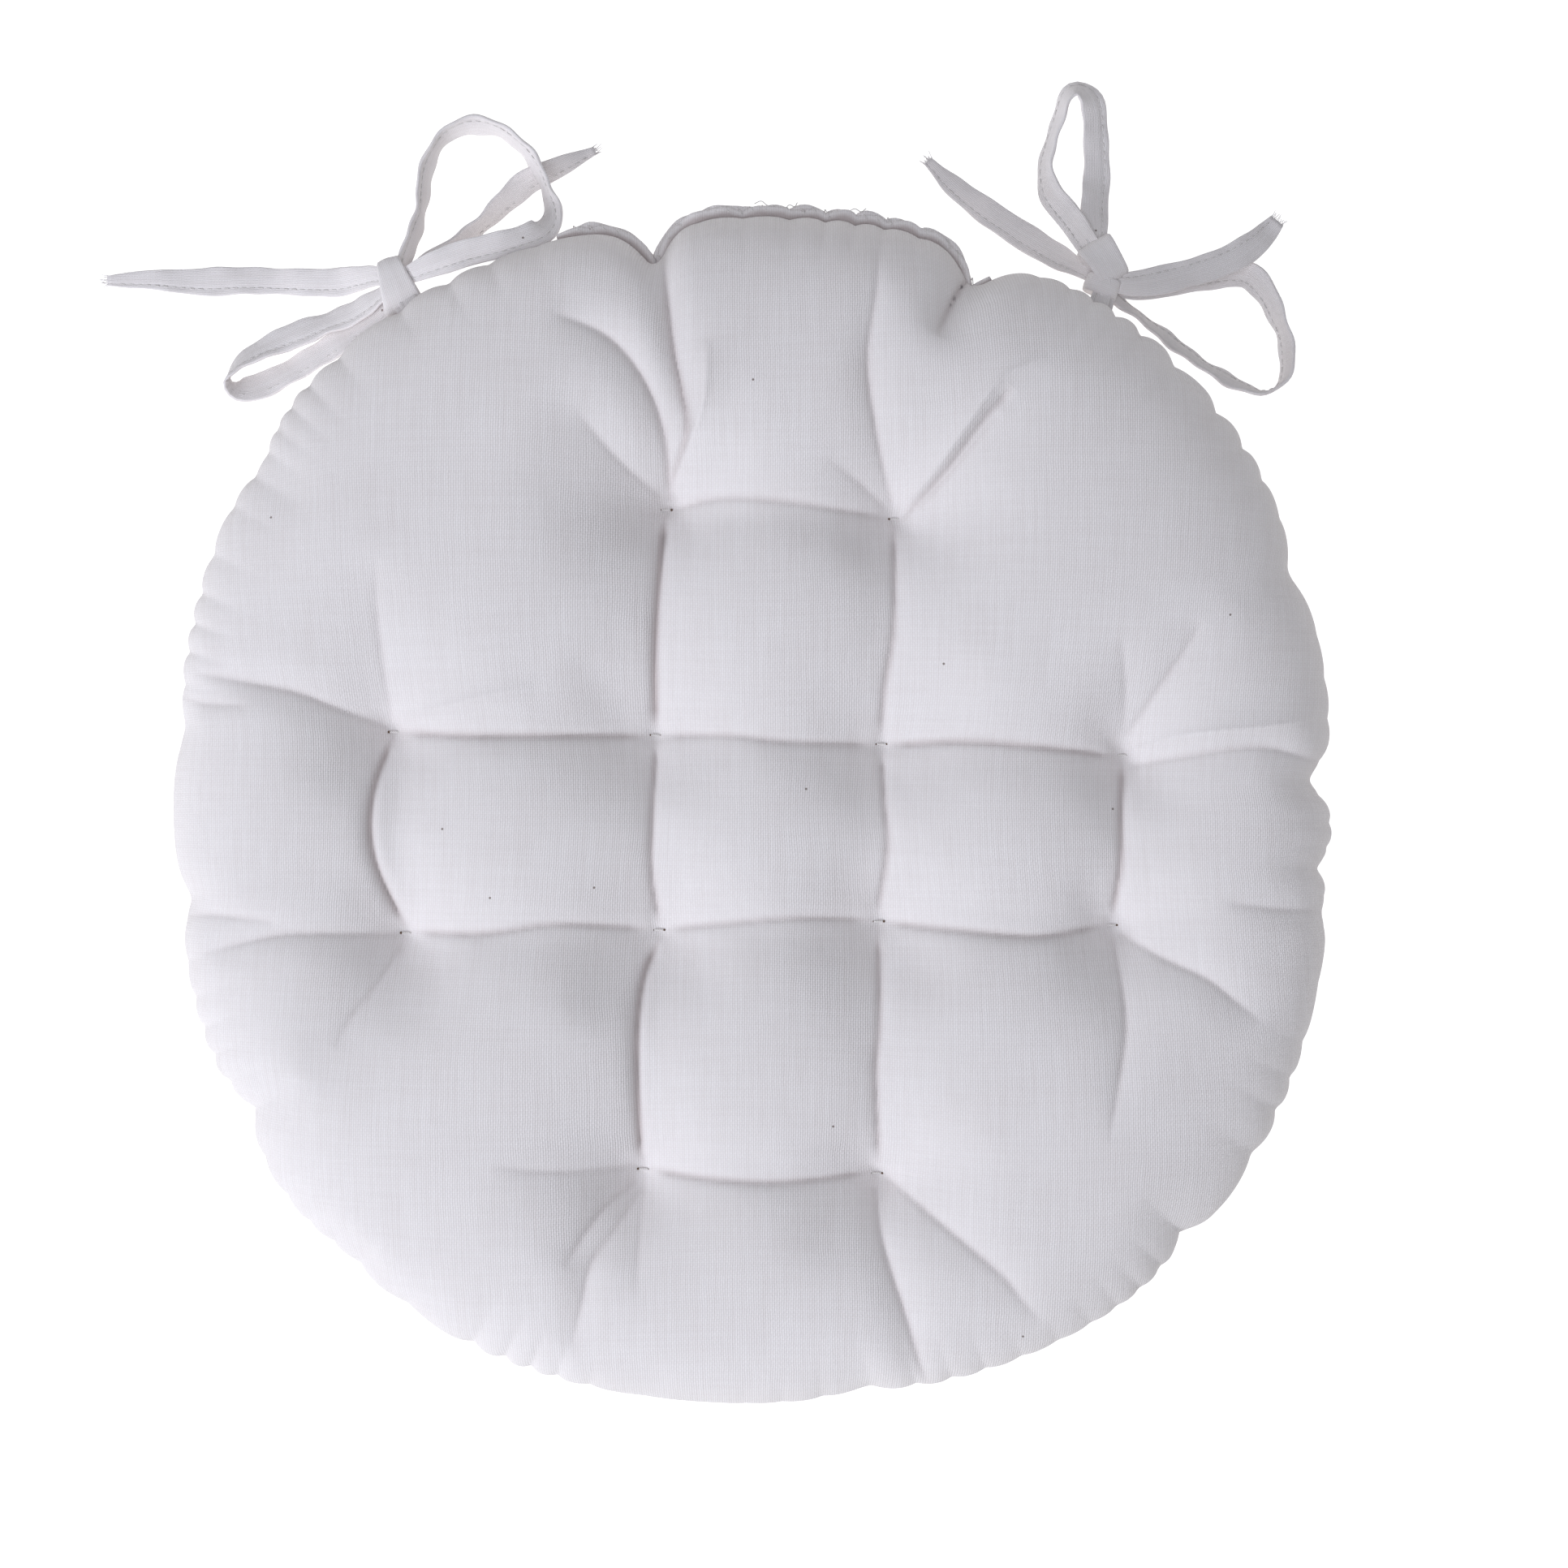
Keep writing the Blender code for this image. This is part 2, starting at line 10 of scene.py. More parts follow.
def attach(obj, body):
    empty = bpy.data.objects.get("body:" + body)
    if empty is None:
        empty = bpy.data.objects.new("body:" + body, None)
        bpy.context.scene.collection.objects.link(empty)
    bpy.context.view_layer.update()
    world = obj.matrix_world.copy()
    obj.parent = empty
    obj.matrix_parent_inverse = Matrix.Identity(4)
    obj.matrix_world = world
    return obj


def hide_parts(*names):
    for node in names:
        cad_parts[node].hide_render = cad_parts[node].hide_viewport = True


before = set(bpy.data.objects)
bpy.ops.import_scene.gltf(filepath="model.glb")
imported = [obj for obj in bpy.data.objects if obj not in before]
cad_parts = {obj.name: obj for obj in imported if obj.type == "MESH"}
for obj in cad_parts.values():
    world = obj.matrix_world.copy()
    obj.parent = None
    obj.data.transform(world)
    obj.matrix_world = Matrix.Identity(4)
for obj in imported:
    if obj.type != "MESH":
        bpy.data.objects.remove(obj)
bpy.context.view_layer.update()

# Round tufted seat pad of undyed cotton canvas, with a bow of folded tape at each back corner.
# Metres, +Z up, +Y towards the back of the seat.

PAD_RADIUS = 0.204
CORNER_FULLNESS = 0.006
SEAM_HEIGHT = 0.028
TUFT_HEIGHT = 0.007
TUFT_BAR = 0.003
TUFTS = (
    (-0.145, 0.496), (0.233, 0.481),
    (-0.594, 0.129), (-0.162, 0.124), (0.211, 0.109), (0.609, 0.091),
    (-0.574, -0.203), (-0.157, -0.198), (0.206, -0.184), (0.591, -0.190),
    (-0.182, -0.593), (0.203, -0.600),
)
TUFT_POINTS = [Vector((x * PAD_RADIUS, y * PAD_RADIUS)) for x, y in TUFTS]


# ---------------------------------------------------------------- helpers

def add_piece(name, mesh, material, body):
    mesh.materials.clear()
    mesh.materials.append(material)
    piece = bpy.data.objects.new(name, mesh)
    bpy.context.scene.collection.objects.link(piece)
    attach(piece, body)
    return piece


def mesh_from(shape, name):
    mesh = bpy.data.meshes.new(name)
    shape.to_mesh(mesh)
    shape.free()
    mesh.shade_smooth()
    return mesh


def run_lengths(points):
    """Distance along a line at each of its points."""
    return np.concatenate([[0], np.cumsum(np.linalg.norm(np.diff(points, axis=0), axis=1))])


def close_tube(shape, rings):
    """Faces between rings of points, each closed on itself, and a cap at both ends."""
    for ring, after in zip(rings, rings[1:]):
        for index, vert in enumerate(ring):
            other = (index + 1) % len(ring)
            shape.faces.new((vert, ring[other], after[other], after[index]))
    shape.faces.new(rings[0])
    shape.faces.new(rings[-1][::-1])


def smooth_line(stops, step):
    """Even points along a Catmull-Rom curve through the stops; each stop may hold extra values."""
    stops = [np.array(stop, float) for stop in stops]
    ends = [2 * stops[0] - stops[1], *stops, 2 * stops[-1] - stops[-2]]
    fine = []
    for before, start, end, after in zip(ends, ends[1:], ends[2:], ends[3:]):
        for t in np.linspace(0, 1, 16, endpoint=False):
            fine.append(0.5 * (
                2 * start + (end - before) * t
                + (2 * before - 5 * start + 4 * end - after) * t**2
                + (3 * start - before - 3 * end + after) * t**3
            ))
    fine = np.array(fine + [stops[-1]])
    lengths = run_lengths(fine[:, :3])
    wanted = np.linspace(0, lengths[-1], max(3, round(lengths[-1] / step) + 1))
    return np.stack([np.interp(wanted, lengths, column) for column in fine.T], axis=1)


def outline_radius(angle):
    return PAD_RADIUS - CORNER_FULLNESS * np.cos(4 * angle)


# ---------------------------------------------------------------- shader helper

class Wire:
    """A shader socket that takes part in Python arithmetic."""

    def __init__(self, tree, socket):
        self.tree = tree
        self.socket = socket

    def node(self, kind, settings=None, inputs=None, output=0):
        made = self.tree.nodes.new(kind)
        for key, value in (settings or {}).items():
            setattr(made, key, value)
        for key, value in (inputs or {}).items():
            if isinstance(value, Wire):
                self.tree.links.new(value.socket, made.inputs[key])
            else:
                made.inputs[key].default_value = value
        return Wire(self.tree, made.outputs[output])

    def maths(self, operation, *values):
        return self.node("ShaderNodeMath", {"operation": operation}, dict(enumerate(values)))

    def __add__(self, other):
        return self.maths("ADD", self, other)

    def __mul__(self, other):
        return self.maths("MULTIPLY", self, other)

    def __sub__(self, other):
        return self.maths("SUBTRACT", self, other)

    def __rsub__(self, other):
        return self.maths("SUBTRACT", other, self)

    def __gt__(self, other):
        return self.maths("GREATER_THAN", self, other)


def new_cloth(name, sheen, roughness):
    """An empty cloth material: its tree's start, and its Principled shader."""
    material = bpy.data.materials.new(name)
    material.use_nodes = True
    tree = material.node_tree
    shader = tree.nodes["Principled BSDF"]
    shader.inputs["Roughness"].default_value = roughness
    shader.inputs["Sheen Weight"].default_value = sheen
    shader.inputs["Sheen Roughness"].default_value = 0.6
    shader.inputs["Specular IOR Level"].default_value = 0.15
    return material, Wire(tree, None), shader


def feed(start, shader, name, wire):
    start.tree.links.new(wire.socket, shader.inputs[name])


def mix_colour(start, factor, first, second):
    settings = {"data_type": "RGBA"}
    return start.node("ShaderNodeMix", settings, {0: factor, 6: first, 7: second}, 2)


def plain_weave(start, place, pitch, slub):
    """Height of a plain weave, 0 to 1, on a flat position in metres."""
    wander = start.node("ShaderNodeTexNoise", {"noise_dimensions": "2D"}, {
        "Vector": place, "Scale": 90.0, "Detail": 2.0}, 1)
    moved = start.node("ShaderNodeVectorMath", {"operation": "MULTIPLY_ADD"}, {
        0: wander, 1: (slub, slub, 0), 2: place})
    parts = [
        start.node("ShaderNodeSeparateXYZ", None, {0: moved}, index) for index in (0, 1)
    ]
    across, along = [start.maths("SINE", part * (math.pi / pitch)) for part in parts]
    warp = start.maths("ABSOLUTE", across)
    weft = start.maths("ABSOLUTE", along)
    over = (across * along) > 0.0
    return warp * (over * 0.55 + 0.45) + weft * (0.35 - over * 0.25)


CANVAS_LIGHT = (0.86, 0.84, 0.85, 1)
CANVAS_DARK = (0.64, 0.59, 0.58, 1)
# Colour of the painted shade in the creases, folds and grooves.
CREASE_SHADE_COLOUR = (0.33, 0.26, 0.25, 1)
FLECK_TONE = (0.10, 0.06, 0.04, 1)
FLECK_LUCK = 0.992
TIE_WEAVE = 0.0006
COVER_WEAVE = 0.0008


def canvas_cloth(name, pitch):
    """Undyed canvas: weave relief, yarn streaks both ways, soft mottling, seed flecks and painted shade in
    the creases.
    """
    material, start, shader = new_cloth(name, 0.12, 0.92)
    flat = start.node("ShaderNodeUVMap", {"uv_map": "cloth"})
    height = plain_weave(start, flat, pitch, 0.0009)
    streaks = []
    for scale in ((900.0, 26.0, 0.0), (30.0, 800.0, 0.0)):
        stretched = start.node("ShaderNodeVectorMath", {"operation": "MULTIPLY"}, {
            0: flat, 1: scale})
        streaks.append(start.node("ShaderNodeTexNoise", {"noise_dimensions": "2D"}, {
            "Vector": stretched, "Scale": 1.0, "Detail": 3.0, "Roughness": 0.6}))
    mottle = start.node("ShaderNodeTexNoise", {"noise_dimensions": "2D"}, {
        "Vector": flat, "Scale": 45.0, "Detail": 4.0})
    tone = height * 0.34 + streaks[0] * 0.36 + streaks[1] * 0.20 + mottle * 0.16 - 0.16
    tone = start.node("ShaderNodeClamp", None, {0: tone})
    cloth = mix_colour(start, tone, CANVAS_DARK, CANVAS_LIGHT)
    cell = start.node("ShaderNodeTexVoronoi", {"voronoi_dimensions": "2D"}, {
        "Vector": flat, "Scale": 110.0})
    chance = start.node("ShaderNodeTexVoronoi", {"voronoi_dimensions": "2D"}, {
        "Vector": flat, "Scale": 110.0}, 1)
    luck = start.node("ShaderNodeSeparateXYZ", None, {0: chance})
    fleck = (luck > FLECK_LUCK) * start.maths("LESS_THAN", cell, 0.045)
    cloth = mix_colour(start, fleck * 0.75, cloth, FLECK_TONE)
    # Painted shade: the cloth darkens towards the brown shade colour where the point attribute marks
    # creases, folds, the seam and the lip's groove.
    depth = start.node("ShaderNodeAttribute", {"attribute_name": "painted_crease_shade"}, None, 2)
    painted_shade_amount = start.node("ShaderNodeClamp", None, {0: depth * 0.62})
    feed(start, shader, "Base Color", mix_colour(start, painted_shade_amount, cloth, CREASE_SHADE_COLOUR))
    relief = height + streaks[0] * 0.35
    bump = start.node("ShaderNodeBump", None, {
        "Strength": 0.5, "Distance": 0.00022, "Height": relief})
    feed(start, shader, "Normal", bump)
    return material


def thread_cotton(name, colour):
    """Twisted sewing thread."""
    material, start, shader = new_cloth(name, 0.1, 0.8)
    place = start.node("ShaderNodeTexCoord", None, None, 3)
    bands = {"wave_type": "BANDS", "bands_direction": "DIAGONAL"}
    twist = start.node("ShaderNodeTexWave", bands, {
        "Vector": place, "Scale": 900.0, "Distortion": 1.0})
    shade = mix_colour(start, twist, tuple(c * 0.72 for c in colour[:3]) + (1,), colour)
    feed(start, shader, "Base Color", shade)
    bump = start.node("ShaderNodeBump", None, {
        "Strength": 0.4, "Distance": 0.0001, "Height": twist})
    feed(start, shader, "Normal", bump)
    return material


def fibre_fill(name):
    """White polyester fibre."""
    material, start, shader = new_cloth(name, 0.2, 1.0)
    place = start.node("ShaderNodeTexCoord", None, None, 3)
    tufty = start.node("ShaderNodeTexNoise", None, {"Vector": place, "Scale": 300.0, "Detail": 5.0})
    shade = mix_colour(start, tufty, (0.7, 0.7, 0.7, 1), (0.9, 0.9, 0.89, 1))
    feed(start, shader, "Base Color", shade)
    bump = start.node("ShaderNodeBump", None, {
        "Strength": 0.6, "Distance": 0.001, "Height": tufty})
    feed(start, shader, "Normal", bump)
    return material


def plain_material(name, colour, roughness):
    """A material of one colour, and its Principled shader."""
    material = bpy.data.materials.new(name)
    material.use_nodes = True
    shader = material.node_tree.nodes["Principled BSDF"]
    shader.inputs["Base Color"].default_value = colour
    shader.inputs["Roughness"].default_value = roughness
    return material, shader


# ---------------------------------------------------------------- camera

CAMERA_HEIGHT = 1.256


def place_camera():
    camera = bpy.data.objects.new("camera", bpy.data.cameras.new("camera"))
    camera.data.lens = 85
    camera.data.sensor_width = 36
    camera.location = (0.0102, 0.0088, SEAM_HEIGHT + CAMERA_HEIGHT)
    bpy.context.scene.collection.objects.link(camera)
    bpy.context.scene.camera = camera


# ---------------------------------------------------------------- ties

TIE_WIDTH = 0.0095
TIE_THICKNESS = 0.0012
TIE_ANGLE = math.radians(34.3)
TAPE_STEP = 0.0016
TAPE_RIPPLE = 0.00045
EDGE_RIPPLE = 0.00035


def tie_frame(sign):
    """Root on the rim, direction along the rim away from the back centre, and outward."""
    angle = math.radians(90) - sign * TIE_ANGLE
    outward = np.array([math.cos(angle), math.sin(angle), 0])
    along = np.array([sign * math.sin(angle), -sign * math.cos(angle), 0])
    return outward * outline_radius(angle), along, outward


# Each stop: along the rim, outward and height in millimetres, roll in degrees (0 flat, 90 on
# edge), share of the tape's width.
LEFT_ARMS = {
    "left_tie_arm_1": (
        (0, -1.5, 26.2, 0, 0.7), (-0.5, 3, 22.8, 5, 0.65), (0, 8, 20.8, 20, 0.55),
        (5, 8.5, 20.5, 30, 0.6), (11, 8.8, 18, 30, 0.85), (18, 9.8, 14, 30, 1),
        (29, 13.2, 9.2, 28, 1), (41, 16.5, 7.2, 25, 1), (52, 18.8, 6.2, 35, 1),
        (61, 19, 6, 60, 1), (66.8, 16.5, 5.8, 100, 1), (65.5, 11.8, 5.6, 140, 1),
        (60, 9, 5, 155, 1), (50, 7.2, 5, 160, 1), (36, 5.8, 7.4, 158, 1),
        (22, 4.5, 11.8, 155, 0.95), (11, 4, 16, 158, 0.75), (4, 6, 18, 170, 0.55),
        (-3, 8.5, 17, 180, 0.5), (-10, 9.8, 14, 180, 0.6), (-16, 9.8, 11.8, 212, 0.8),
        (-23, 9.5, 8.2, 232, 0.9), (-33, 11, 6, 238, 0.95), (-44, 13, 5.2, 230, 1),
        (-57, 15, 4, 214, 0.95), (-68, 13.7, 2.4, 198, 0.8), (-78, 12.2, 1.3, 188, 0.5),
        (-83, 11.3, 1.1, 184, 0.32),
    ),
    "left_tie_arm_2": (
        (2, -1.5, 24.8, 0, 0.7), (1, 3, 21.2, 5, 0.65), (-1, 7.5, 18, 20, 0.55),
        (-4.5, 11.5, 19, 45, 0.6), (-8.5, 15.5, 17, 65, 0.8), (-18, 23.2, 11.5, 70, 1),
        (-24, 30, 8, 72, 1), (-29, 36, 6.6, 72, 1), (-36, 41.5, 6, 70, 1),
        (-44, 44, 5.8, 66, 1), (-52, 42, 6, 64, 1), (-58, 37, 6.4, 66, 1),
        (-61.8, 29, 7.4, 70, 1), (-63, 18.5, 9.2, 72, 1), (-61.2, 8.5, 12, 66, 1),
        (-58.2, 0.5, 17, 50, 1), (-54.5, -4, 22.5, 26, 1), (-49, -4.8, 26.2, 10, 1),
        (-38, -1.8, 28, 4, 1), (-25, 3, 27.8, 2, 1), (-13, 6.6, 25.5, 0, 0.85),
        (-5, 8.8, 22.5, 0, 0.6), (1, 11.8, 20.5, 0, 0.55), (4.5, 15.5, 18, 0, 0.75),
        (10, 19, 13, -4, 0.92), (18, 23.8, 7.2, -6, 1), (31, 33.8, 2.6, -4, 1),
        (42, 42, 1.3, 0, 1), (56, 51, 1.2, 0, 0.98), (69, 60.8, 1.2, 0, 0.75),
        (77, 66, 1.2, 0, 0.52), (82, 69.2, 1.2, 0, 0.36),
    ),
}
RIGHT_ARMS = {
    "right_tie_arm_1": (
        (0, -1.5, 26.2, 0, 0.7), (-1, 3, 22.8, 5, 0.65), (-3.5, 8, 22.5, 20, 0.55),
        (-8, 12, 20.5, 35, 0.6), (-14, 15, 19, 24, 0.95), (-25, 20.5, 12.8, 26, 1),
        (-34, 23.8, 8.6, 38, 1), (-40.5, 29, 6.6, 56, 1), (-44.5, 36.8, 5.8, 74, 1),
        (-47, 45.5, 5.8, 66, 1), (-49.7, 54.5, 5.8, 60, 1), (-48.7, 59.7, 5.8, 60, 1),
        (-43.5, 60.2, 5.6, 40, 1), (-38.5, 56.5, 4.8, 22, 1), (-33.5, 50, 4.4, 14, 1),
        (-26.2, 39.8, 5.6, 10, 1), (-20, 28.5, 10.8, 8, 1), (-14, 19.5, 17.8, 6, 0.85),
        (-8.5, 13, 21.2, 4, 0.6), (-3, 10, 21, 2, 0.55), (2.5, 10.8, 19.8, 0, 0.75),
        (10, 17, 16.8, -4, 1), (18, 26, 13.8, -6, 1.05), (25, 35, 11.2, -6, 1.05),
        (30, 43.5, 8.8, -4, 1), (32.8, 51, 5.6, 0, 0.95), (34, 57, 2.2, 0, 0.8),
        (34.6, 62, 1.2, 0, 0.6),
    ),
    "right_tie_arm_2": (
        (2, -1.5, 24.8, 0, 0.7), (0.5, 3, 21.2, 5, 0.65), (-2, 6.5, 19, 20, 0.55),
        (2, 6.2, 17, 45, 0.6), (8, 6, 15, 60, 0.85), (19, 6, 10.5, 62, 1),
        (32, 5.8, 7.2, 60, 1), (45, 5.8, 6, 60, 1), (56, 7, 5.6, 64, 1),
        (64, 9.5, 5.6, 76, 1), (67.5, 15, 5.6, 84, 1), (66, 21, 5.6, 76, 1),
        (61, 28, 5.6, 66, 1), (53, 34, 5.4, 58, 1), (45, 38.8, 4.6, 44, 1),
        (37.5, 40.5, 3.4, 24, 1), (31.5, 37.8, 2.6, 8, 1), (25, 31.8, 3, 4, 1),
        (17.5, 24, 6, 2, 1), (10.5, 16, 10.8, 0, 0.9), (4.5, 10.8, 14.2, 0, 0.65),
        (-3, 8.8, 15.8, 0, 0.5), (-10, 8, 15, 0, 0.6), (-15, 7.8, 12.2, 0, 0.8),
        (-20, 7.8, 9, 0, 0.95), (-31, 8, 3.4, -4, 1), (-44, 8, 1.4, -2, 1),
        (-55, 8.2, 1.2, 0, 0.95), (-66, 9, 1.2, 0, 0.75), (-72, 10, 1.2, 0, 0.5),
        (-77, 11, 1.2, 0, 0.34),
    ),
}


def strip_frames(points, rolls):
    """Width direction and face direction at each point of a tape."""
    tangents = np.gradient(points, axis=0)
    tangents /= np.linalg.norm(tangents, axis=1, keepdims=True)
    level = np.cross(tangents, (0, 0, 1))
    level /= np.linalg.norm(level, axis=1, keepdims=True)
    upward = np.cross(level, tangents)
    turn = np.radians(rolls)[:, None]
    widths = level * np.cos(turn) + upward * np.sin(turn)
    return widths, np.cross(widths, tangents)


def strip_profile():
    """Section of a tape folded in on itself: two soft edges and a faint fold line, width 1."""
    half = TIE_THICKNESS / TIE_WIDTH / 2
    return [
        (-0.500, 0.0), (-0.488, half * 0.8), (-0.450, half), (-0.30, half * 0.92),
        (-0.255, half * 0.62), (-0.21, half * 0.95), (0.0, half * 1.05), (0.25, half),
        (0.450, half), (0.488, half * 0.8), (0.500, 0.0), (0.488, -half * 0.8),
        (0.450, -half), (0.0, -half), (-0.450, -half), (-0.488, -half * 0.8),
    ]


def slow_ripple(run, across):
    """Lift of a tape's face this far along it; across runs from -0.5 to 0.5."""
    return TAPE_RIPPLE * math.sin(run * 240 + 1.0) * across * 2


def tape_mesh(name, route):
    """Folded tape swept along a route, closed at both ends, with flat positions in its UVs."""
    points, rolls, shares = route[:, :3], route[:, 3], route[:, 4]
    widths, faces = strip_frames(points, rolls)
    profile = strip_profile()
    lengths = run_lengths(points)
    shape = bmesh.new()
    flat = shape.loops.layers.uv.new("cloth")
    run = shape.verts.layers.float.new("run")
    side = shape.verts.layers.float.new("side")

    def place(verts, index):
        at = lengths[index]
        waver = 1 + 0.045 * math.sin(at * 150) + 0.03 * math.sin(at * 410)
        width = TIE_WIDTH * shares[index] * waver
        for vert, (across, up) in zip(verts, profile):
            ripple = slow_ripple(at, across)
            ripple += EDGE_RIPPLE * math.sin(at * 530 + 2.0 * across) * (across * 2) ** 2
            lift = up * TIE_WIDTH + ripple * min(1.0, 2 * shares[index] - 0.8)
            vert.co = points[index] + widths[index] * across * width + faces[index] * lift
            vert[run] = at
            vert[side] = across * width

    ring = [shape.verts.new() for _ in profile]
    place(ring, 0)
    loop = [shape.edges.new((a, b)) for a, b in zip(ring, ring[1:] + ring[:1])]
    shape.faces.new(ring)
    for index in range(1, len(points)):
        made = bmesh.ops.extrude_edge_only(shape, edges=loop)["geom"]
        edges = [item for item in made if isinstance(item, bmesh.types.BMEdge)]
        fresh = {vert for edge in edges for vert in edge.verts}
        ring = [next(edge.other_vert(vert) for edge in vert.link_edges
                     if edge.other_vert(vert) in fresh) for vert in ring]
        place(ring, index)
        loop = edges
    shape.faces.new(ring)
    bmesh.ops.recalc_face_normals(shape, faces=shape.faces[:])
    for face in shape.faces:
        for corner in face.loops:
            corner[flat].uv = (corner.vert[side], corner.vert[run])
    return mesh_from(shape, name)


def build_route(stops, sign):
    root, along, outward = tie_frame(sign)
    placed = []
    for *place, roll, share in stops:
        # Rounded so that 26.2 mm is exactly 0.0262 m.
        reach, out, height = (round(value / 1000, 4) for value in place)
        point = root + along * reach + outward * out
        placed.append((point[0], point[1], height, roll * sign, share))
    return smooth_line(placed, TAPE_STEP)


def tie_arm(name, stops, sign, body, material):
    route = build_route(stops, sign)
    piece = add_piece(name, tape_mesh(name, route), material, body)
    return piece, route, float(run_lengths(route[:, :3])[-1])


# Wraps of tape around each knot: centre, direction of the wrap in plan (degrees from +X), half
# length along it, half height, width at its two ends, number of soft folds.
KNOT_WRAPS = {
    "left": ((-0.1220, 0.1792, 0.0190), -70, 0.0096, 0.0058, 0.0078, 0.0146, 1),
    "right": ((0.1196, 0.1872, 0.0192), -58, 0.0078, 0.0052, 0.0128, 0.0104, 1),
    "right_small": ((0.1188, 0.1788, 0.0182), -20, 0.0060, 0.0056, 0.0062, 0.0070, 1),
}
WRAP_STEPS = 44
WRAP_ROWS = 17
STITCH_INSET = 0.0022
STITCH_ACROSS = -0.27
STITCH_LENGTH = 0.0021
STITCH_GAP = 0.0009
STITCH_RADIUS = 0.00019
YARNS = 16
YARN_RADIUS = 0.00011


def wrap_mesh(name, centre, degrees, half_run, half_height, first, last, folds):
    """Tape wound once round the knot: wide where it fans out, drawn in where it is pulled tight."""
    turn = math.radians(degrees)
    run = np.array((math.cos(turn), math.sin(turn), 0))
    axis = np.array((-math.sin(turn), math.cos(turn), 0))
    shape = bmesh.new()
    flat = shape.loops.layers.uv.new("cloth")
    across = shape.verts.layers.float.new("across")
    along = shape.verts.layers.float.new("along")
    offsets = [-0.86, -0.99, *np.linspace(-1, 1, WRAP_ROWS), 0.99, 0.86]
    scales = [0.70, 0.86, 0.93, *[1.0] * (WRAP_ROWS - 2), 0.93, 0.86, 0.70]
    rows = []
    for offset, scale in zip(offsets, scales):
        row = []
        for step in range(WRAP_STEPS):
            angle = 2 * math.pi * step / WRAP_STEPS
            width = first + (last - first) * (0.5 + 0.5 * math.cos(angle))
            fold = math.cos(folds * math.pi * offset + 0.7)
            puff = scale * (1 + 0.022 * fold - 0.012 * math.cos(3 * angle + 2 * offset))
            flatten = 1 / (abs(math.cos(angle)) ** 3 + abs(math.sin(angle)) ** 3) ** (1 / 3)
            vert = shape.verts.new(
                np.array(centre) + axis * offset * width / 2
                + run * math.cos(angle) * half_run * puff * flatten
                + np.array((0, 0, 1)) * math.sin(angle) * half_height * puff * flatten
            )
            vert[across] = offset * width / 2
            vert[along] = angle * half_run
            row.append(vert)
        rows.append(row)
    close_tube(shape, rows)
    bmesh.ops.recalc_face_normals(shape, faces=shape.faces[:])
    for face in shape.faces:
        for corner in face.loops:
            corner[flat].uv = (corner.vert[across], corner.vert[along])
    return mesh_from(shape, name)


def short_threads(name, lines, radius, material, body):
    """Straight short threads, each a four-sided bar with pointed ends."""
    shape = bmesh.new()
    for start, end, up in lines:
        ahead = (end - start) / np.linalg.norm(end - start)
        side = np.cross(ahead, up)
        rings = []
        for share, lift, size in ((0, -0.6, 0.55), (0.25, 0.5, 1), (0.75, 0.5, 1), (1, -0.6, 0.55)):
            place = start + (end - start) * share + up * radius * lift
            rings.append([
                shape.verts.new(place + (side * a + up * b) * radius * size)
                for a, b in ((1, 0), (0, 1), (-1, 0), (0, -1))
            ])
        close_tube(shape, rings)
    bmesh.ops.recalc_face_normals(shape, faces=shape.faces[:])
    piece = add_piece(name, mesh_from(shape, name), material, body)
    return piece


def topstitch(name, route, material, body):
    """A row of stitches beside one folded edge, on both faces of the tape."""
    points, rolls, shares = route[:, :3], route[:, 3], route[:, 4]
    widths, faces = strip_frames(points, rolls)
    lengths = run_lengths(points)
    edge = (TIE_WIDTH / 2 - STITCH_INSET) * shares

    def at(run, values):
        return np.array([np.interp(run, lengths, column) for column in values.T])

    lines = []
    run = 0.004
    while run + STITCH_LENGTH < lengths[-1] - 0.002:
        for face in (1, -1):
            ends = []
            for place in (run, run + STITCH_LENGTH):
                out = at(place, widths) * -np.interp(place, lengths, edge)
                ripple = slow_ripple(place, STITCH_ACROSS)
                up = at(place, faces)
                ends.append(at(place, points) + out + up * (face * TIE_THICKNESS * 0.40 + ripple))
            up = at(run, faces)
            lines.append((ends[0], ends[1], up / np.linalg.norm(up) * face))
        run += STITCH_LENGTH + STITCH_GAP
    return short_threads(name, lines, STITCH_RADIUS, material, body)


def frayed_end(name, route, material, body):
    """Loose yarns at the raw cut end of a tape."""
    points = route[:, :3]
    widths, faces = strip_frames(points, route[:, 3])
    ahead = points[-1] - points[-3]
    ahead /= np.linalg.norm(ahead)
    draw = random.Random(name)
    lines = []
    for number in range(YARNS):
        across = (number / (YARNS - 1) - 0.5) * TIE_WIDTH * route[-1, 4] * 0.95
        start = points[-1] - ahead * 0.0008 + widths[-1] * across
        start += faces[-1] * draw.uniform(-2, 2) * 0.0001
        reach = draw.uniform(0.0012, 0.0038)
        lean = widths[-1] * draw.uniform(-0.45, 0.45) + faces[-1] * draw.uniform(-0.05, 0.3)
        lines.append((start, start + (ahead + lean) * reach, faces[-1]))
    return short_threads(name, lines, YARN_RADIUS, material, body)


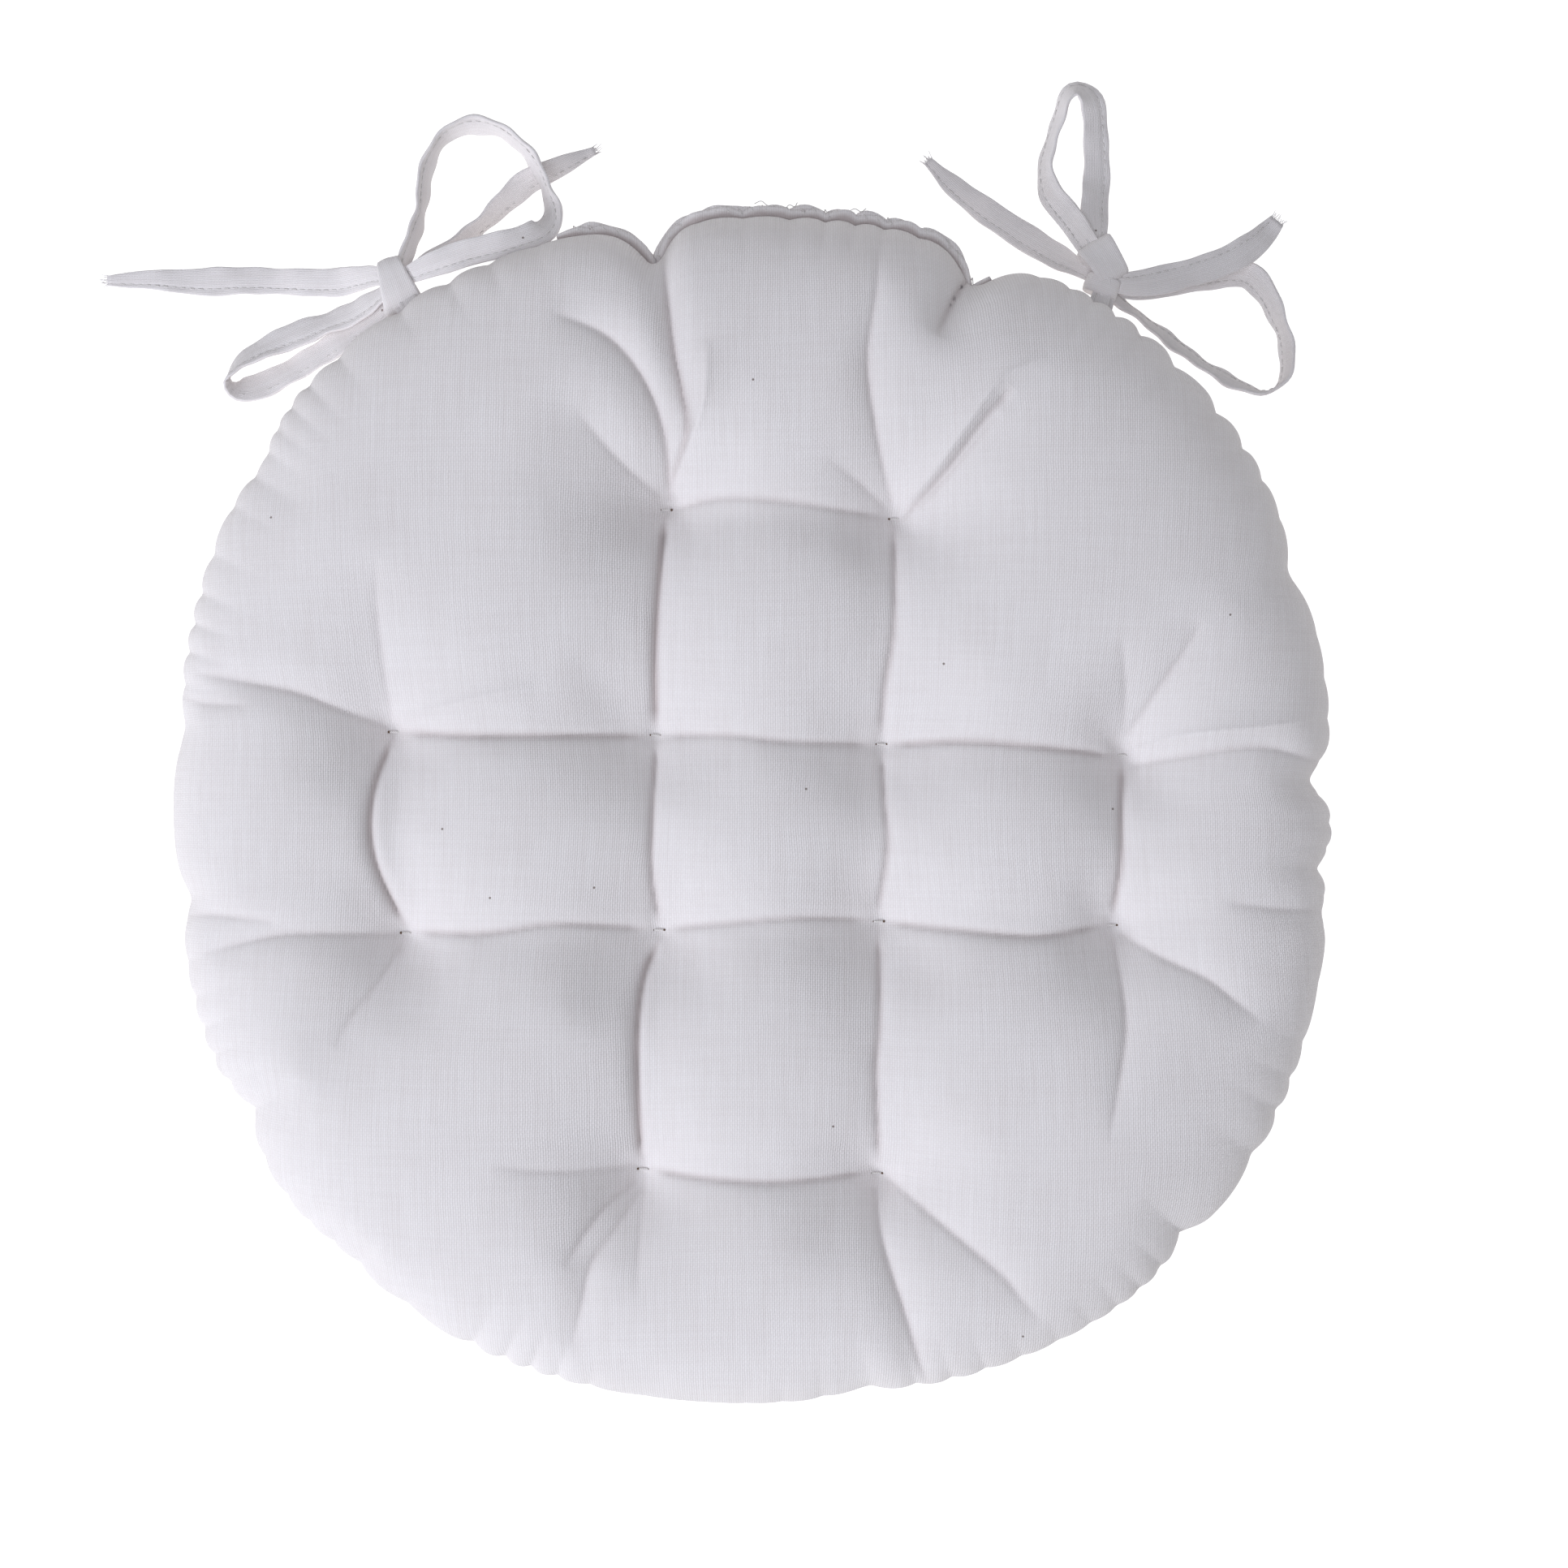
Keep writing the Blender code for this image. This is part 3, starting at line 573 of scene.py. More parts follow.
def build_ties(tape, thread):
    for side, sign, arms in (("left", -1, LEFT_ARMS), ("right", 1, RIGHT_ARMS)):
        body = side + "_bow"
        wraps = []
        for name, (centre, *sizes) in KNOT_WRAPS.items():
            if name.startswith(side):
                mesh = wrap_mesh(name + "_knot_wrap", centre, *sizes)
                wraps.append(add_piece(name + "_knot_wrap", mesh, tape, body))
        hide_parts(side + "_tie_knot")
        held = {
            side + "_tie_arm_1": ("stem", "loop_side", "tail_back"),
            side + "_tie_arm_2": ("loop_back", "tail_side"),
        }
        for name, stops in arms.items():
            piece, route, length = tie_arm(name, stops, sign, body, tape)
            extras = [
                topstitch(name + "_topstitch", route, thread, body),
                frayed_end(name + "_frayed_end", route, tape, body),
            ]
            if name.endswith("arm_1"):
                extras += wraps
            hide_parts(*[side + "_tie_" + part for part in held[name]])


# ---------------------------------------------------------------- pad cover

COVER_CELLS = 112
CROWN_RISE = 0.038
CROWN_SQUARENESS = 3.6
TUFT_SPREAD = 0.0155
LINK_DEPTH = 0.34
LINK_WIDTH = 0.011
CLOTH_EXTRA = 0.008
FILL_PRESSURE = 12.0
FOLD_STRENGTH = 0.75
FOLD_CORE = 0.50
SMOOTH_PASSES = 4
FRAMES = 18
COVER_LEVELS = 2
CREASE_SHADE = 0.0011
TUFT_PULL = 0.0035
PUCKERS = 90
PUCKER_REACH = 0.0025
PUCKER_DEPTH = 0.0004
SEAM_GROOVE = 0.0011
GROOVE_WIDTH = 0.0012
SEAM_BAND = 0.004
SEAM_SHADE = 0.6
SEAM_SHADE_WIDTH = 0.0009
SHARP_GAIN = 1.2
FULL_SHADE_DEPTH = 0.0034
FOLD_SHADE_DEPTH = 0.011
FOLD_REACH = 0.010
FOLD_CORE_WIDTH = 0.0019
REST_HEIGHT = 0.0003
FILLING_INSET = 0.0058
CREASE_LINKS = (
    (0, 1), (2, 3), (3, 4), (4, 5), (6, 7), (7, 8), (8, 9), (10, 11),
    (0, 3), (1, 4), (2, 6), (3, 7), (4, 8), (5, 9), (7, 10), (8, 11),
)

# Notches where the rim is gathered: degrees from +X, depth, half width in degrees.
NOTCHES = (
    (100.2, 0.017, 2.0), (67.5, 0.014, 2.6), (23.8, 0.005, 2.5), (3.1, 0.0095, 1.8),
    (-5.7, 0.0055, 1.5), (-10.0, 0.003, 1.2), (-44.8, 0.005, 2.5), (-79.5, 0.003, 3.5),
    (-149.4, 0.007, 2.5), (-171.2, 0.005, 2.2), (171.7, 0.003, 2.2), (145.2, 0.004, 2.5),
    (-132.0, 0.004, 16.0),
)

# Folds of slack cloth running out from the tufts: line, depth (a ridge if below 0), half width.
FOLDS = (
    (((-0.028, 0.105), (-0.030, 0.126), (-0.037, 0.144), (-0.049, 0.158), (-0.067, 0.166)), 0.0055, 0.0046),
    (((-0.028, 0.110), (-0.022, 0.127), (-0.024, 0.141), (-0.027, 0.156), (-0.031, 0.190)), 0.0075, 0.0042),
    (((-0.026, 0.112), (-0.017, 0.134), (-0.015, 0.156)), -0.0040, 0.0050),
    (((-0.032, 0.106), (-0.045, 0.117), (-0.059, 0.133)), 0.0025, 0.0040),
    (((0.046, 0.104), (0.041, 0.126), (0.038, 0.150), (0.041, 0.173), (0.042, 0.188)), 0.0040, 0.0050),
    (((0.052, 0.104), (0.061, 0.114), (0.073, 0.131), (0.083, 0.144), (0.098, 0.151)), -0.0035, 0.0040),
    (((0.056, 0.102), (0.070, 0.118), (0.082, 0.132)), 0.0030, 0.0050),
    (((0.044, 0.102), (0.036, 0.109), (0.025, 0.117)), 0.0020, 0.0035),
    (((0.076, 0.184), (0.068, 0.173), (0.061, 0.158)), 0.0080, 0.0055),
    (((-0.124, 0.028), (-0.139, 0.034), (-0.151, 0.039), (-0.164, 0.042), (-0.188, 0.046)), 0.0042, 0.0045),
    (((-0.171, 0.035), (-0.185, 0.036), (-0.198, 0.040)), 0.0020, 0.0035),
    (((-0.122, 0.032), (-0.125, 0.066), (-0.125, 0.084)), 0.0022, 0.0060),
    (((-0.120, 0.031), (-0.105, 0.034), (-0.085, 0.039), (-0.073, 0.041)), -0.0022, 0.0035),
    (((0.128, 0.020), (0.139, 0.024), (0.151, 0.026), (0.171, 0.028), (0.190, 0.031)), -0.0030, 0.0040),
    (((0.128, 0.015), (0.145, 0.018), (0.170, 0.021), (0.195, 0.014)), 0.0035, 0.0055),
    (((0.160, -0.031), (0.176, -0.033), (0.195, -0.0345)), 0.0022, 0.0030),
    (((0.126, 0.026), (0.136, 0.042), (0.144, 0.054), (0.149, 0.063)), 0.0030, 0.0045),
    (((0.124, 0.028), (0.124, 0.042), (0.122, 0.058)), 0.0018, 0.0040),
    (((-0.120, -0.042), (-0.147, -0.041), (-0.161, -0.042), (-0.185, -0.048)), 0.0035, 0.0042),
    (((-0.161, -0.037), (-0.183, -0.035), (-0.197, -0.038)), 0.0025, 0.0035),
    (((-0.119, -0.046), (-0.125, -0.057), (-0.134, -0.069), (-0.139, -0.079)), 0.0028, 0.0050),
    (((0.124, -0.042), (0.136, -0.049), (0.151, -0.056), (0.160, -0.063), (0.170, -0.071)), 0.0038, 0.0042),
    (((0.121, -0.044), (0.124, -0.071), (0.121, -0.093), (0.118, -0.110)), 0.0034, 0.0055),
    (((-0.040, -0.125), (-0.049, -0.132), (-0.056, -0.141), (-0.063, -0.152)), 0.0035, 0.0040),
    (((-0.038, -0.128), (-0.047, -0.141), (-0.054, -0.151), (-0.057, -0.164), (-0.061, -0.180)),
     0.0030, 0.0040),
    (((-0.040, -0.120), (-0.069, -0.120), (-0.086, -0.118)), 0.0022, 0.0060),
    (((-0.037, -0.126), (-0.038, -0.144), (-0.039, -0.162)), 0.0014, 0.0050),
    (((0.041, -0.128), (0.043, -0.144), (0.051, -0.169), (0.055, -0.183), (0.060, -0.198)), 0.0045, 0.0045),
    (((0.045, -0.124), (0.058, -0.134), (0.082, -0.154), (0.090, -0.164), (0.097, -0.172)), 0.0040, 0.0040),
)

# The sharp line down the middle of each crease, and of one long fold: stops, depth, half width.
SHARP_LINES = (
    (((-0.030, 0.098), (-0.032, 0.072), (-0.033, 0.050), (-0.033, 0.028)), 0.0034, 0.0016),
    (((0.047, 0.095), (0.047, 0.062), (0.044, 0.041), (0.043, 0.025)), 0.0020, 0.0018),
    (((-0.122, 0.024), (-0.127, 0.008), (-0.128, -0.008), (-0.125, -0.022), (-0.118, -0.038)),
     0.0032, 0.0017),
    (((-0.033, 0.022), (-0.034, -0.004), (-0.034, -0.022), (-0.032, -0.037)), 0.0022, 0.0016),
    (((0.043, 0.019), (0.044, 0.002), (0.045, -0.012), (0.042, -0.034)), 0.0018, 0.0016),
    (((0.124, 0.015), (0.123, -0.001), (0.123, -0.017), (0.121, -0.035)), 0.0026, 0.0016),
    (((-0.032, -0.044), (-0.037, -0.056), (-0.039, -0.076), (-0.038, -0.117)), 0.0032, 0.0016),
    (((0.042, -0.041), (0.042, -0.072), (0.041, -0.086), (0.042, -0.118)), 0.0020, 0.0017),
    (((-0.027, 0.101), (-0.012, 0.104), (0.010, 0.103), (0.045, 0.098)), 0.0014, 0.0020),
    (((-0.118, 0.026), (-0.093, 0.025), (-0.063, 0.025), (-0.036, 0.025)), 0.0022, 0.0017),
    (((-0.030, 0.025), (-0.008, 0.025), (0.012, 0.023), (0.040, 0.022)), 0.0016, 0.0018),
    (((0.046, 0.022), (0.070, 0.023), (0.098, 0.021), (0.121, 0.018)), 0.0022, 0.0017),
    (((-0.114, -0.041), (-0.090, -0.041), (-0.065, -0.038), (-0.035, -0.040)), 0.0018, 0.0018),
    (((-0.029, -0.040), (-0.010, -0.038), (0.015, -0.036), (0.039, -0.037)), 0.0016, 0.0018),
    (((0.045, -0.038), (0.068, -0.040), (0.095, -0.042), (0.118, -0.039)), 0.0020, 0.0017),
    (((-0.034, -0.121), (-0.016, -0.123), (0.010, -0.124), (0.039, -0.122)), 0.0020, 0.0018),
    (((0.050, 0.098), (0.064, 0.113), (0.076, 0.129), (0.086, 0.1405)), 0.0016, 0.0014),
)


def disc_plan(u, v):
    return u * np.sqrt(1 - v * v / 2), v * np.sqrt(1 - u * u / 2)


def rim_radius(angle):
    """Outline of the filled pad before its gathers: slightly square, fuller at the front and back."""
    return PAD_RADIUS + 0.001 - 0.0045 * np.cos(4 * angle) - 0.0022 * np.cos(2 * angle)


def notch_depth(angle):
    """How far the seam is drawn in at the notches, in metres."""
    drawn = np.zeros_like(angle)
    for place, depth, width in NOTCHES:
        off = (np.degrees(angle) - place + 180) % 360 - 180
        drawn += 1.15 * depth * np.exp(-np.abs(off / width) ** 1.1)
    return drawn


def pucker(angle):
    """1 in the sharp valleys of the gathered seam, 0 on the small swells between them."""
    wobble = angle + 0.030 * np.sin(7 * angle + 0.6) + 0.018 * np.sin(17 * angle + 2.0)
    swell = np.abs(np.sin(PUCKERS / 2 * wobble + 1.5 * np.sin(5 * angle) + 0.8 * np.sin(13 * angle)))
    strength = 0.50 + 0.30 * np.sin(9 * angle + 1.0) + 0.25 * np.sin(4 * angle - 1.9)
    return np.maximum(0, strength) * (1 - swell) ** 1.2


def rim_gather(angle):
    """How far the finished seam is drawn in: the notches and the fine puckers all round."""
    return notch_depth(angle) + PUCKER_REACH * pucker(angle)


def line_share(places, stops):
    """Distance from a smooth line, and the share of its length at the nearest point."""
    line = smooth_line([(x, y, 0) for x, y in stops], 0.003)[:, :2]
    nearest = np.full(len(places), 1.0)
    share = np.zeros(len(places))
    for number, (start, end) in enumerate(zip(line, line[1:])):
        along = end - start
        t = np.clip(((places - start) @ along) / (along @ along), 0, 1)
        gap = np.hypot(*(places - start - t[:, None] * along).T)
        closer = gap < nearest
        nearest[closer] = gap[closer]
        share[closer] = (number + t[closer]) / (len(line) - 1)
    return nearest, share


def start_rise(places, share):
    """Height over the seam plane that one panel starts from, already dimpled and creased."""
    crown = CROWN_RISE * (0.74 + 0.36 * share**2)
    crown = crown * np.maximum(0, 1 - share**CROWN_SQUARENESS) ** 0.5
    left = np.ones(len(places))
    for point in TUFT_POINTS:
        left *= 1 - np.exp(-np.hypot(*(places - np.array(point)).T) / TUFT_SPREAD)
    for first, second in CREASE_LINKS:
        gap, _ = line_share(places, (TUFT_POINTS[first], TUFT_POINTS[second]))
        left *= 1 - LINK_DEPTH * np.exp(-gap / LINK_WIDTH)
    rise = TUFT_HEIGHT + (crown - TUFT_HEIGHT) * left
    for stops, depth, width in FOLDS:
        gap, along = line_share(places, stops)
        taper = np.sin(np.pi * (0.12 + 0.88 * along)) ** 0.8
        rise -= FOLD_STRENGTH * depth * taper * np.exp(-((gap / width) ** 1.5)) * (along < 1)
    return np.where(crown < TUFT_HEIGHT, crown, np.maximum(rise, TUFT_HEIGHT * 0.8))


def panel_plan(grid):
    """Places on the finished pad for points of the unit square grid."""
    x, y = disc_plan(grid[:, 0], grid[:, 1])
    angle = np.arctan2(y, x)
    share = np.minimum(1.0, np.hypot(x, y))
    reach = share * rim_radius(angle) - notch_depth(angle) * share**9
    return np.stack([reach * np.cos(angle), reach * np.sin(angle)], axis=1), share


def start_cover():
    """Both panels sewn together at the rim, with the tufts and the first folds in place."""
    shape = bmesh.new()
    bmesh.ops.create_grid(shape, x_segments=COVER_CELLS, y_segments=COVER_CELLS, size=1.0)
    flat = shape.loops.layers.uv.new("cloth")
    held = shape.verts.layers.float.new("held")
    shape.verts.ensure_lookup_table()
    grid = np.array([vert.co[:2] for vert in shape.verts])
    places, share = panel_plan(grid)
    for tuft in TUFT_POINTS:
        gaps = np.hypot(*(places - np.array(tuft)).T)
        places[np.argmin(gaps)] = tuft
        for number in np.flatnonzero(gaps < 0.0027):
            shape.verts[int(number)][held] = 1.0
    rise = start_rise(places, share)
    for vert, place, height, part in zip(shape.verts, places, rise, share):
        vert.co = (place[0], place[1], height)
        if part > 0.9999:
            vert.co.z = 0
            vert[held] = 1.0
        elif vert[held] > 0.5:
            vert.co.z = TUFT_HEIGHT
    across, down = disc_plan(grid[:, 0], grid[:, 1])
    for face in shape.faces:
        for corner in face.loops:
            number = corner.vert.index
            corner[flat].uv = (across[number] * PAD_RADIUS * 1.03, down[number] * PAD_RADIUS * 1.03)
    other = bmesh.ops.duplicate(shape, geom=shape.verts[:] + shape.edges[:] + shape.faces[:])
    lower = [item for item in other["geom"] if isinstance(item, bmesh.types.BMFace)]
    for vert in {vert for face in lower for vert in face.verts}:
        vert.co.z = -vert.co.z
    bmesh.ops.reverse_faces(shape, faces=lower)
    rim = [vert for vert in shape.verts if vert.is_boundary]
    bmesh.ops.remove_doubles(shape, verts=rim, dist=0.00001)
    return shape


def inflate(piece):
    """Fills the sewn cover with pressure while the tufts and the seam hold it."""
    group = piece.vertex_groups.new(name="held")
    marks = piece.data.attributes["held"].data
    group.add([number for number, mark in enumerate(marks) if mark.value > 0.5], 1.0, "REPLACE")
    cloth = piece.modifiers.new("fill", "CLOTH")
    settings = cloth.settings
    settings.quality = 6
    settings.mass = 0.25
    settings.tension_stiffness = 40
    settings.compression_stiffness = 30
    settings.shear_stiffness = 12
    settings.bending_stiffness = 3.0
    settings.tension_damping = 8
    settings.compression_damping = 8
    settings.shear_damping = 8
    settings.bending_damping = 1.0
    settings.air_damping = 3
    settings.vertex_group_mass = group.name
    settings.pin_stiffness = 10
    settings.shrink_min = -CLOTH_EXTRA
    settings.shrink_max = -CLOTH_EXTRA
    settings.use_pressure = True
    settings.uniform_pressure_force = FILL_PRESSURE
    settings.effector_weights.gravity = 0
    cloth.point_cache.frame_start = 1
    cloth.point_cache.frame_end = FRAMES
    scene = bpy.context.scene
    for number in range(1, FRAMES + 1):
        scene.frame_set(number)
    graph = bpy.context.evaluated_depsgraph_get()
    filled = bpy.data.meshes.new_from_object(piece.evaluated_get(graph))
    piece.modifiers.clear()
    piece.vertex_groups.clear()
    piece.data = filled
    scene.frame_set(1)


def smooth_free(mesh):
    """Evens the filled cloth out everywhere but at the seam and round the tufts."""
    shape = bmesh.new()
    shape.from_mesh(mesh)
    free = [
        vert for vert in shape.verts
        if abs(vert.co.z) > SEAM_BAND and all((vert.co.xy - tuft).length > 0.007 for tuft in TUFT_POINTS)
    ]
    for _ in range(SMOOTH_PASSES):
        bmesh.ops.smooth_vert(
            shape, verts=free, factor=0.5, use_axis_x=True, use_axis_y=True, use_axis_z=True,
        )
    shape.to_mesh(mesh)
    shape.free()


def near_line(places, stops, reach):
    """The points in the box round a line: their numbers, distances and shares of its length."""
    corners = np.array(stops)
    low, high = corners.min(axis=0) - reach, corners.max(axis=0) + reach
    numbers = np.flatnonzero(np.all((places > low) & (places < high), axis=1))
    return numbers, *line_share(places[numbers], stops)


def pull_tufts(places):
    """How far the cloth still has to sink for each tuft to sit on it."""
    drop = np.zeros(len(places))
    for tuft in TUFT_POINTS:
        gap = np.hypot(*(places[:, :2] - np.array(tuft)).T)
        for side in (1, -1):
            same = places[:, 2] * side > 0
            nearest = np.argmin(np.where(same, gap, 1))
            over = max(0, abs(places[nearest, 2]) - TUFT_HEIGHT)
            drop += same * over * np.exp(-((gap / TUFT_PULL) ** 2))
    return drop


def gather_rim(places):
    """Draws the seam into its fine puckers. Returns how deep the small valleys above it are."""
    angle = np.arctan2(places[:, 1], places[:, 0])
    share = np.hypot(places[:, 0], places[:, 1]) / (rim_radius(angle) - notch_depth(angle))
    inward = PUCKER_REACH * pucker(angle) * share**30
    inward += SEAM_GROOVE * np.exp(-np.abs(places[:, 2]) / GROOVE_WIDTH) * (share > 0.97)
    places[:, :2] *= 1 - (inward / PAD_RADIUS)[:, None]
    twist = 0.035 * np.sin(13 * angle) * (1 - share)
    near = np.exp(-(((share - 0.955) / (0.040 + 0.015 * np.sin(8 * angle))) ** 2))
    return PUCKER_DEPTH * (pucker(angle + twist) - 0.25) * near


def finish_cover(piece):
    """Refines the filled cloth, draws its crease lines, paints shade along them and the seam, and rests the
    underside on the seat.
    """
    smooth_free(piece.data)
    finer = piece.modifiers.new("finer", "SUBSURF")
    finer.levels = COVER_LEVELS
    finer.render_levels = COVER_LEVELS
    graph = bpy.context.evaluated_depsgraph_get()
    mesh = bpy.data.meshes.new_from_object(piece.evaluated_get(graph))
    piece.modifiers.clear()
    places = np.empty(len(mesh.vertices) * 3)
    mesh.vertices.foreach_get("co", places)
    places = places.reshape(-1, 3)
    upper = np.clip(places[:, 2] / SEAM_BAND, -1, 1)
    # Painted shade along the seam line, then along each sharp crease and fold, stored on the points for the
    # cloth material.
    painted_shade = SEAM_SHADE * np.exp(-((places[:, 2] / SEAM_SHADE_WIDTH) ** 2))
    drop = pull_tufts(places) + gather_rim(places)
    sharp = np.zeros(len(places))
    for stops, depth, width in SHARP_LINES:
        numbers, gap, along = near_line(places[:, :2], stops, width * 4)
        fade = np.clip(np.minimum(along, 1 - along) * 12, 0, 1)
        line = SHARP_GAIN * depth * fade * np.exp(-gap / width)
        sharp[numbers] = np.maximum(sharp[numbers], line)
        line = depth / FULL_SHADE_DEPTH * (0.3 + 0.7 * fade)
        line *= np.exp(-((gap / CREASE_SHADE) ** 2))
        painted_shade[numbers] = np.maximum(painted_shade[numbers], line)
    drop += sharp
    for stops, depth, width in FOLDS:
        numbers, gap, along = near_line(places[:, :2], stops, FOLD_REACH)
        fade = np.sin(np.pi * (0.15 + 0.85 * along)) ** 0.7 * (along < 1)
        drop[numbers] += FOLD_CORE * depth * fade * np.exp(-gap / FOLD_CORE_WIDTH)
        line = max(0, depth) / FOLD_SHADE_DEPTH * fade
        line *= np.exp(-((gap / CREASE_SHADE) ** 2))
        painted_shade[numbers] = np.maximum(painted_shade[numbers], line)
    places[:, 2] -= drop * upper
    places[:, 2] = np.maximum(places[:, 2] + SEAM_HEIGHT, REST_HEIGHT)
    mesh.vertices.foreach_set("co", places.ravel())
    mesh.attributes.new("painted_crease_shade", "FLOAT", "POINT").data.foreach_set("value", painted_shade)
    mesh.update()
    piece.data = mesh
    mesh.shade_smooth()


def build_cover(canvas):
    mesh = mesh_from(start_cover(), "pad_cover")
    cover = add_piece("pad_cover", mesh, canvas, "pad")
    inflate(cover)
    inner = cover.data.copy()
    finish_cover(cover)
    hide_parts("top_cover", "bottom_cover")
    return inner


# ---------------------------------------------------------------- pad details

LIP_FROM = math.radians(66)
LIP_TO = math.radians(109)
LIP_SECTION = (
    (-0.0040, 0.00050), (-0.0012, 0.00062), (0.0004, 0.00055), (0.0012, 0.00035), (0.0015, 0.0),
    (0.0012, -0.00035), (0.0004, -0.00055), (-0.0012, -0.00062), (-0.0040, -0.00050),
)
LIP_STEP = 0.0014
WHIP_STITCH = 0.0042
CLOSING_RADIUS = 0.00016
SEAM_THREAD_RADIUS = 0.00025
THREAD_SIDES = 6

# Loose ends at the closed opening: degrees from +X, length, lean to one side in radians.
LOOSE_ENDS = ((88, 0.0070, 1.35), (87, 0.0045, -1.2), (81, 0.0060, -1.35), (68.5, 0.0050, 1.3))


def rim_line(first, last, step, outward, height):
    """Points along the sewn rim between two angles, this far outward and over the seam plane."""
    count = max(8, round(abs(last - first) * PAD_RADIUS / step))
    angles = np.linspace(first, last, count)
    reach = rim_radius(angles) - rim_gather(angles) + outward
    return np.stack([
        reach * np.cos(angles), reach * np.sin(angles), np.full(count, SEAM_HEIGHT + height)
    ], axis=1)


def lip_mesh(name, outward, height, seed):
    """One folded edge of a cover panel along the closed opening, a little wavy."""
    points = rim_line(LIP_FROM, LIP_TO, LIP_STEP, 0, height)
    run = np.arange(len(points)) * LIP_STEP
    wave = 0.0005 * np.sin(run * 260 + seed) + 0.0004 * np.sin(run * 610 + 2 * seed)
    ends = np.clip(np.minimum(run, run[-1] - run) / 0.010, 0.05, 1)
    points[:, 2] += wave
    widths, _ = strip_frames(points, np.zeros(len(points)))
    shape = bmesh.new()
    flat = shape.loops.layers.uv.new("cloth")
    painted_crease_shade = shape.verts.layers.float.new("painted_crease_shade")
    rows = []
    for index, point in enumerate(points):
        out = -widths[index] if np.dot(widths[index, :2], point[:2]) < 0 else widths[index]
        reach = (outward + wave[index] * 0.6) * ends[index]
        rows.append([
            shape.verts.new(point + out * (across * (0.5 + 0.5 * ends[index]) + reach)
                            + np.array((0, 0, up)))
            for across, up in LIP_SECTION
        ])
        # Painted shade on the lip's inner edge, where it meets the cover: full on the inside, none on the
        # outer fold.
        for vert, (across, _) in zip(rows[-1], LIP_SECTION):
            vert[painted_crease_shade] = min(1.0, max(0.0, (0.0004 - across) / 0.0012))
    close_tube(shape, rows)
    bmesh.ops.recalc_face_normals(shape, faces=shape.faces[:])
    for face in shape.faces:
        for corner in face.loops:
            corner[flat].uv = (corner.vert.co.x, corner.vert.co.y + corner.vert.co.z)
    return mesh_from(shape, name)


def thread_piece(name, lines, radius, material, body):
    """Fine round threads along several lines, as one piece."""
    shape = bmesh.new()
    for line in lines:
        line = smooth_line(line, radius * 2.5)
        widths, faces = strip_frames(line, np.zeros(len(line)))
        rings = []
        for point, width, face in zip(line, widths, faces):
            rings.append([
                shape.verts.new(point + radius * (width * math.cos(turn) + face * math.sin(turn)))
                for turn in 2 * np.pi * np.arange(THREAD_SIDES) / THREAD_SIDES
            ])
        close_tube(shape, rings)
    bmesh.ops.recalc_face_normals(shape, faces=shape.faces[:])
    piece = add_piece(name, mesh_from(shape, name), material, body)
    return piece


def build_lip(canvas, thread):
    for name, outward, height, seed in (
        ("back_lip_upper", 0.0006, 0.0008, 0.4), ("back_lip_lower", 0.0014, -0.0008, 2.3),
    ):
        piece = add_piece(name, lip_mesh(name, outward, height, seed), canvas, "pad")
    path = rim_line(LIP_FROM + 0.02, LIP_TO - 0.02, WHIP_STITCH, 0, 0)
    stitches = []
    for start, end in zip(path, path[1:]):
        out = np.array((*start[:2], 0)) / np.hypot(*start[:2])
        along = (end - start) * 0.45
        stitches.append((
            start + out * 0.0002 + (0, 0, 0.0014),
            start + out * 0.0014 + along * 0.5 + (0, 0, 0.0013),
            start + out * 0.0027 + along + (0, 0, -0.0004),
            start + out * 0.0020 + along + (0, 0, -0.0016),
        ))
    whip = thread_piece("closing_thread", stitches, CLOSING_RADIUS, thread, "pad")
    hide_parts("closing_stitches")
    ends = []
    for degrees, reach, lean in LOOSE_ENDS:
        angle = math.radians(degrees)
        start = rim_line(angle, angle + 0.0001, 1.0, 0.0022, 0.0010)[0]
        out = np.array((math.cos(angle + lean), math.sin(angle + lean), 0))
        side = np.array((-out[1], out[0], 0))
        ends.append((
            start, start + out * reach * 0.35 + side * 0.0006 + (0, 0, 0.0012),
            start + out * reach * 0.7 - side * 0.0004 + (0, 0, 0.0004),
            start + out * reach + side * 0.0008 + (0, 0, -0.0010),
        ))
    thread_piece("loose_thread_ends", ends, CLOSING_RADIUS, thread, "pad")


def build_seam_thread(thread):
    """The rim's lockstitch, inside the turned edges."""
    line = rim_line(0, 2 * math.pi, 0.006, -0.0035, 0)
    piece = thread_piece("rim_seam_thread", [line], SEAM_THREAD_RADIUS, thread, "pad")
    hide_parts("seam_thread")


def build_filling(inner, fibre):
    """Loose fibre body: the filled cover's own shape drawn in by a few millimetres."""
    shape = bmesh.new()
    shape.from_mesh(inner)
    bmesh.ops.smooth_vert(
        shape, verts=shape.verts, factor=0.5, use_axis_x=True, use_axis_y=True, use_axis_z=True,
    )
    shape.normal_update()
    places = [vert.co - vert.normal * FILLING_INSET for vert in shape.verts]
    for vert, place in zip(shape.verts, places):
        vert.co = (place.x, place.y, max(place.z + SEAM_HEIGHT, 0.0030))
    piece = add_piece("fibre_body", mesh_from(shape, "fibre_body"), fibre, "pad")
    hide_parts("filling")


